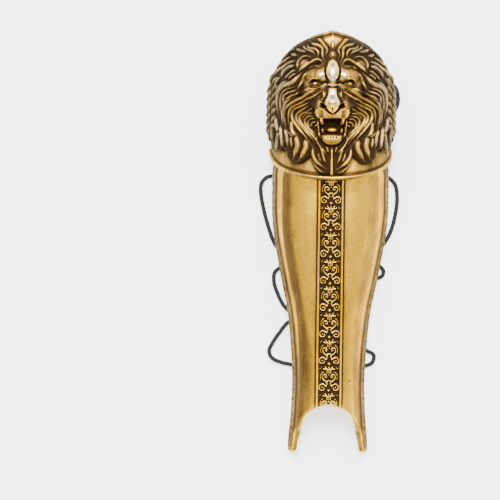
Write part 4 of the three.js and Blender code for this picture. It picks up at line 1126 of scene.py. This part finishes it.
class Nodes:
    """A node tree of a material or the world, built from its last node back."""

    def __init__(self, owner, last):
        owner.use_nodes = True
        self.owner = owner
        self.tree = owner.node_tree
        self.last = self.tree.nodes[last]

    def node(self, kind, inputs=(), **settings):
        made = self.tree.nodes.new(kind)
        for key, value in settings.items():
            setattr(made, key, value)
        for key, value in dict(inputs).items():
            self.put(made.inputs[key], value)
        return made

    def put(self, socket, value):
        if isinstance(value, bpy.types.NodeSocket):
            self.tree.links.new(value, socket)
        else:
            socket.default_value = value

    def finished(self, inputs):
        """The tree's owner, once its last node is fed."""
        for key, value in inputs.items():
            self.put(self.last.inputs[key], value)
        return self.owner

    def math(self, operation, a, b=0.0):
        return self.node("ShaderNodeMath", {0: a, 1: b}, operation=operation).outputs[0]

    def attribute(self, name):
        return self.node("ShaderNodeAttribute", attribute_name=name).outputs["Fac"]

    def noise(self, scale, detail=3.0, stretch=(1, 1, 1), roughness=0.55):
        where = self.node("ShaderNodeTexCoord").outputs["Object"]
        scaled = self.node("ShaderNodeMapping", {"Vector": where, "Scale": stretch}).outputs[0]
        values = {"Vector": scaled, "Scale": scale, "Detail": detail, "Roughness": roughness}
        return self.node("ShaderNodeTexNoise", values).outputs["Fac"]

    def ramp(self, value, stops):
        made = self.node("ShaderNodeValToRGB", {"Fac": value})
        points = made.color_ramp.elements
        while len(points) < len(stops):
            points.new(0.5)
        for point, (place, colour) in zip(points, stops):
            point.position = place
            point.color = (*colour, 1)
        return made.outputs["Color"]

    def span(self, value, low, high, at=(0.0, 1.0), **settings):
        """A value that runs from low to high between two places."""
        values = {"Value": value, "From Min": at[0], "From Max": at[1], "To Min": low, "To Max": high}
        return self.node("ShaderNodeMapRange", values, **settings).outputs[0]

    def mix(self, share, first, second, **settings):
        values = {"Fac": share, "Color1": first, "Color2": second}
        return self.node("ShaderNodeMixRGB", values, **settings).outputs[0]

    def bump(self, **values):
        return self.node("ShaderNodeBump", values).outputs[0]


def brass(name, tarnish, gain, lacquer, clouding):
    """Antique brass, from a tarnish, the gain of the value of patina and painted light, the share of clear
    lacquer and cloudiness.
    """
    s = Nodes(bpy.data.materials.new(name), "Principled BSDF")
    clouds = s.noise(CLOUDS, 4)
    streaks = s.noise(STREAKS, 4, stretch=(1, 0.22, 1))
    grain = s.noise(GRAIN, 3)
    patina_and_painted_light_level = s.math("MULTIPLY", s.attribute("cavity"), gain)
    for noise, strength in ((clouds, clouding), (streaks, clouding), (grain, GRAIN_CLOUDING)):
        patina_and_painted_light_level = s.math("ADD", patina_and_painted_light_level, s.span(noise, -strength, strength, NOISE_SPAN))
    patina_and_painted_light_level = s.math("ADD", patina_and_painted_light_level, tarnish)
    warm, bleak = (s.ramp(patina_and_painted_light_level, [(row[0], row[k]) for row in PAINTED_LIGHT_AND_PATINA_COLOURS]) for k in (1, 2))
    # The bleaker colour comes in with the grey tone and the painted sheen, reflections and highlights
    colour = s.mix(s.attribute("silver"), warm, bleak)
    dots = s.ramp(s.noise(SPECK_NOISE, 4, roughness=0.65), SPECKS)
    rough = s.math("ADD", s.span(patina_and_painted_light_level, 0.27, 0.6, (0.0, 0.9)), s.span(grain, -0.05, 0.07, NOISE_SPAN))
    fine = s.bump(Height=grain, Strength=0.35, Distance=FINE_BUMP)
    return s.finished({
        "Base Color": s.mix(1.0, colour, dots, blend_type="MULTIPLY"),
        "Metallic": s.span(patina_and_painted_light_level, 1.0, 0.4, (0.6, 0.85)),
        "Specular IOR Level": s.span(patina_and_painted_light_level, 0.3, 0.1, (0.6, 0.85)),
        "Specular Tint": (1.0, 0.82, 0.5, 1.0),
        "Roughness": rough,
        "Coat Weight": s.span(patina_and_painted_light_level, lacquer, 0.0, (0.1, 0.45)),
        "Coat Roughness": 0.16,
        "Normal": s.bump(Height=clouds, Strength=0.25, Distance=CLOUD_BUMP, Normal=fine),
    })


def elastic():
    """Braided black elastic."""
    s = Nodes(bpy.data.materials.new("black_elastic"), "Principled BSDF")
    fuzz = s.noise(FUZZ, 3)
    return s.finished({
        "Base Color": s.ramp(s.span(s.attribute("braid"), 0.0, 1.0, (-0.6, 1.0)), ELASTIC),
        "Roughness": s.span(fuzz, 0.6, 0.9, NOISE_SPAN),
        "Specular IOR Level": 0.2,
        "Normal": s.bump(Height=fuzz, Strength=0.4, Distance=FUZZ_BUMP),
    })


def paper():
    """The pale surface that the greave lies on."""
    s = Nodes(bpy.data.materials.new("pale_surface"), "Principled BSDF")
    return s.finished({
        "Base Color": s.ramp(s.noise(PAPER_NOISE, 3), PAPER),
        "Roughness": 0.8,
        "Emission Color": (1, 1, 1, 1),
        "Emission Strength": PAPER_GLOW,
    })


BRASS_SLOT = "antique_brass"
black_elastic = elastic()
for piece, material, slot in (
    (knee_plate, brass("cop_brass", tarnish=0.58, gain=0.39, lacquer=0.35, clouding=0.08), BRASS_SLOT),
    (shin_shell, brass("shin_brass", tarnish=0.2, gain=0.33, lacquer=0.05, clouding=0.05), BRASS_SLOT),
    (scroll_band, brass("band_brass", tarnish=0.46, gain=0.43, lacquer=0.15, clouding=0.08), BRASS_SLOT),
    *((cord, black_elastic, "black_elastic") for cord in cords),
):
    piece.data.materials.append(material)
    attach(piece, "root")

# Floor, lights and surroundings, in metres and watts

FLOOR_SIZE = 3.0
STRIP_GLOW = 7.0
ROOM_GLOW = 1.1

bpy.ops.mesh.primitive_plane_add(size=FLOOR_SIZE, location=(0, 0, 0))
floor = bpy.context.object
floor.name = "floor"
floor.data.materials.append(paper())


def area_light(name, at, size, watts, colour=(1, 1, 1)):
    """A rectangle of light that faces the greave."""
    data = bpy.data.lights.new(name, "AREA")
    data.shape = "RECTANGLE"
    data.size, data.size_y = size
    data.energy = watts
    data.color = colour
    light = bpy.data.objects.new(name, data)
    light.location = at
    x, y, z = at
    light.rotation_euler = (math.atan2(math.hypot(x, y), z), 0, math.atan2(-y, -x) - math.pi / 2)
    bpy.context.scene.collection.objects.link(light)


area_light("softbox", at=(0.1, -0.15, 1.5), size=(1.3, 1.1), watts=4)
area_light("window", at=(-0.06, 0.66, 1.1), size=(0.34, 0.3), watts=20, colour=(1, 0.99, 0.97))


def room():
    """A pale tent over the greave from side to side, with a bright strip over the apex."""
    s = Nodes(bpy.data.worlds.new("room"), "Background")
    where = s.node("ShaderNodeTexCoord").outputs["Generated"]
    x, y, z = s.node("ShaderNodeSeparateXYZ", {0: where}).outputs

    def fade(value, low, high, dark, bright):
        return s.span(value, dark, bright, (low, high), interpolation_type="SMOOTHSTEP")

    # Darker toward both ends, at the foot of the left wall and at the floor
    ends = fade(s.math("ABSOLUTE", y), 0.3, 0.75, 1.0, 0.25)
    foot_of_left_wall = fade(s.math("ADD", z, x), -0.75, -0.45, 0.04, 1.08)
    foot = fade(z, 0.0, 0.12, 0.3, 1.0)
    tent = s.math("MULTIPLY", s.math("MULTIPLY", ends, foot_of_left_wall), foot)
    strip = s.math("MULTIPLY", fade(y, 0.08, 0.26, 0.0, STRIP_GLOW), fade(y, 0.65, 0.85, 1.0, 0.0))
    strip = s.math("MULTIPLY", strip, fade(s.math("ABSOLUTE", x), 0.5, 0.8, 1.0, 0.0))
    return s.finished({"Color": s.math("ADD", tent, strip), "Strength": ROOM_GLOW})


bpy.context.scene.world = room()
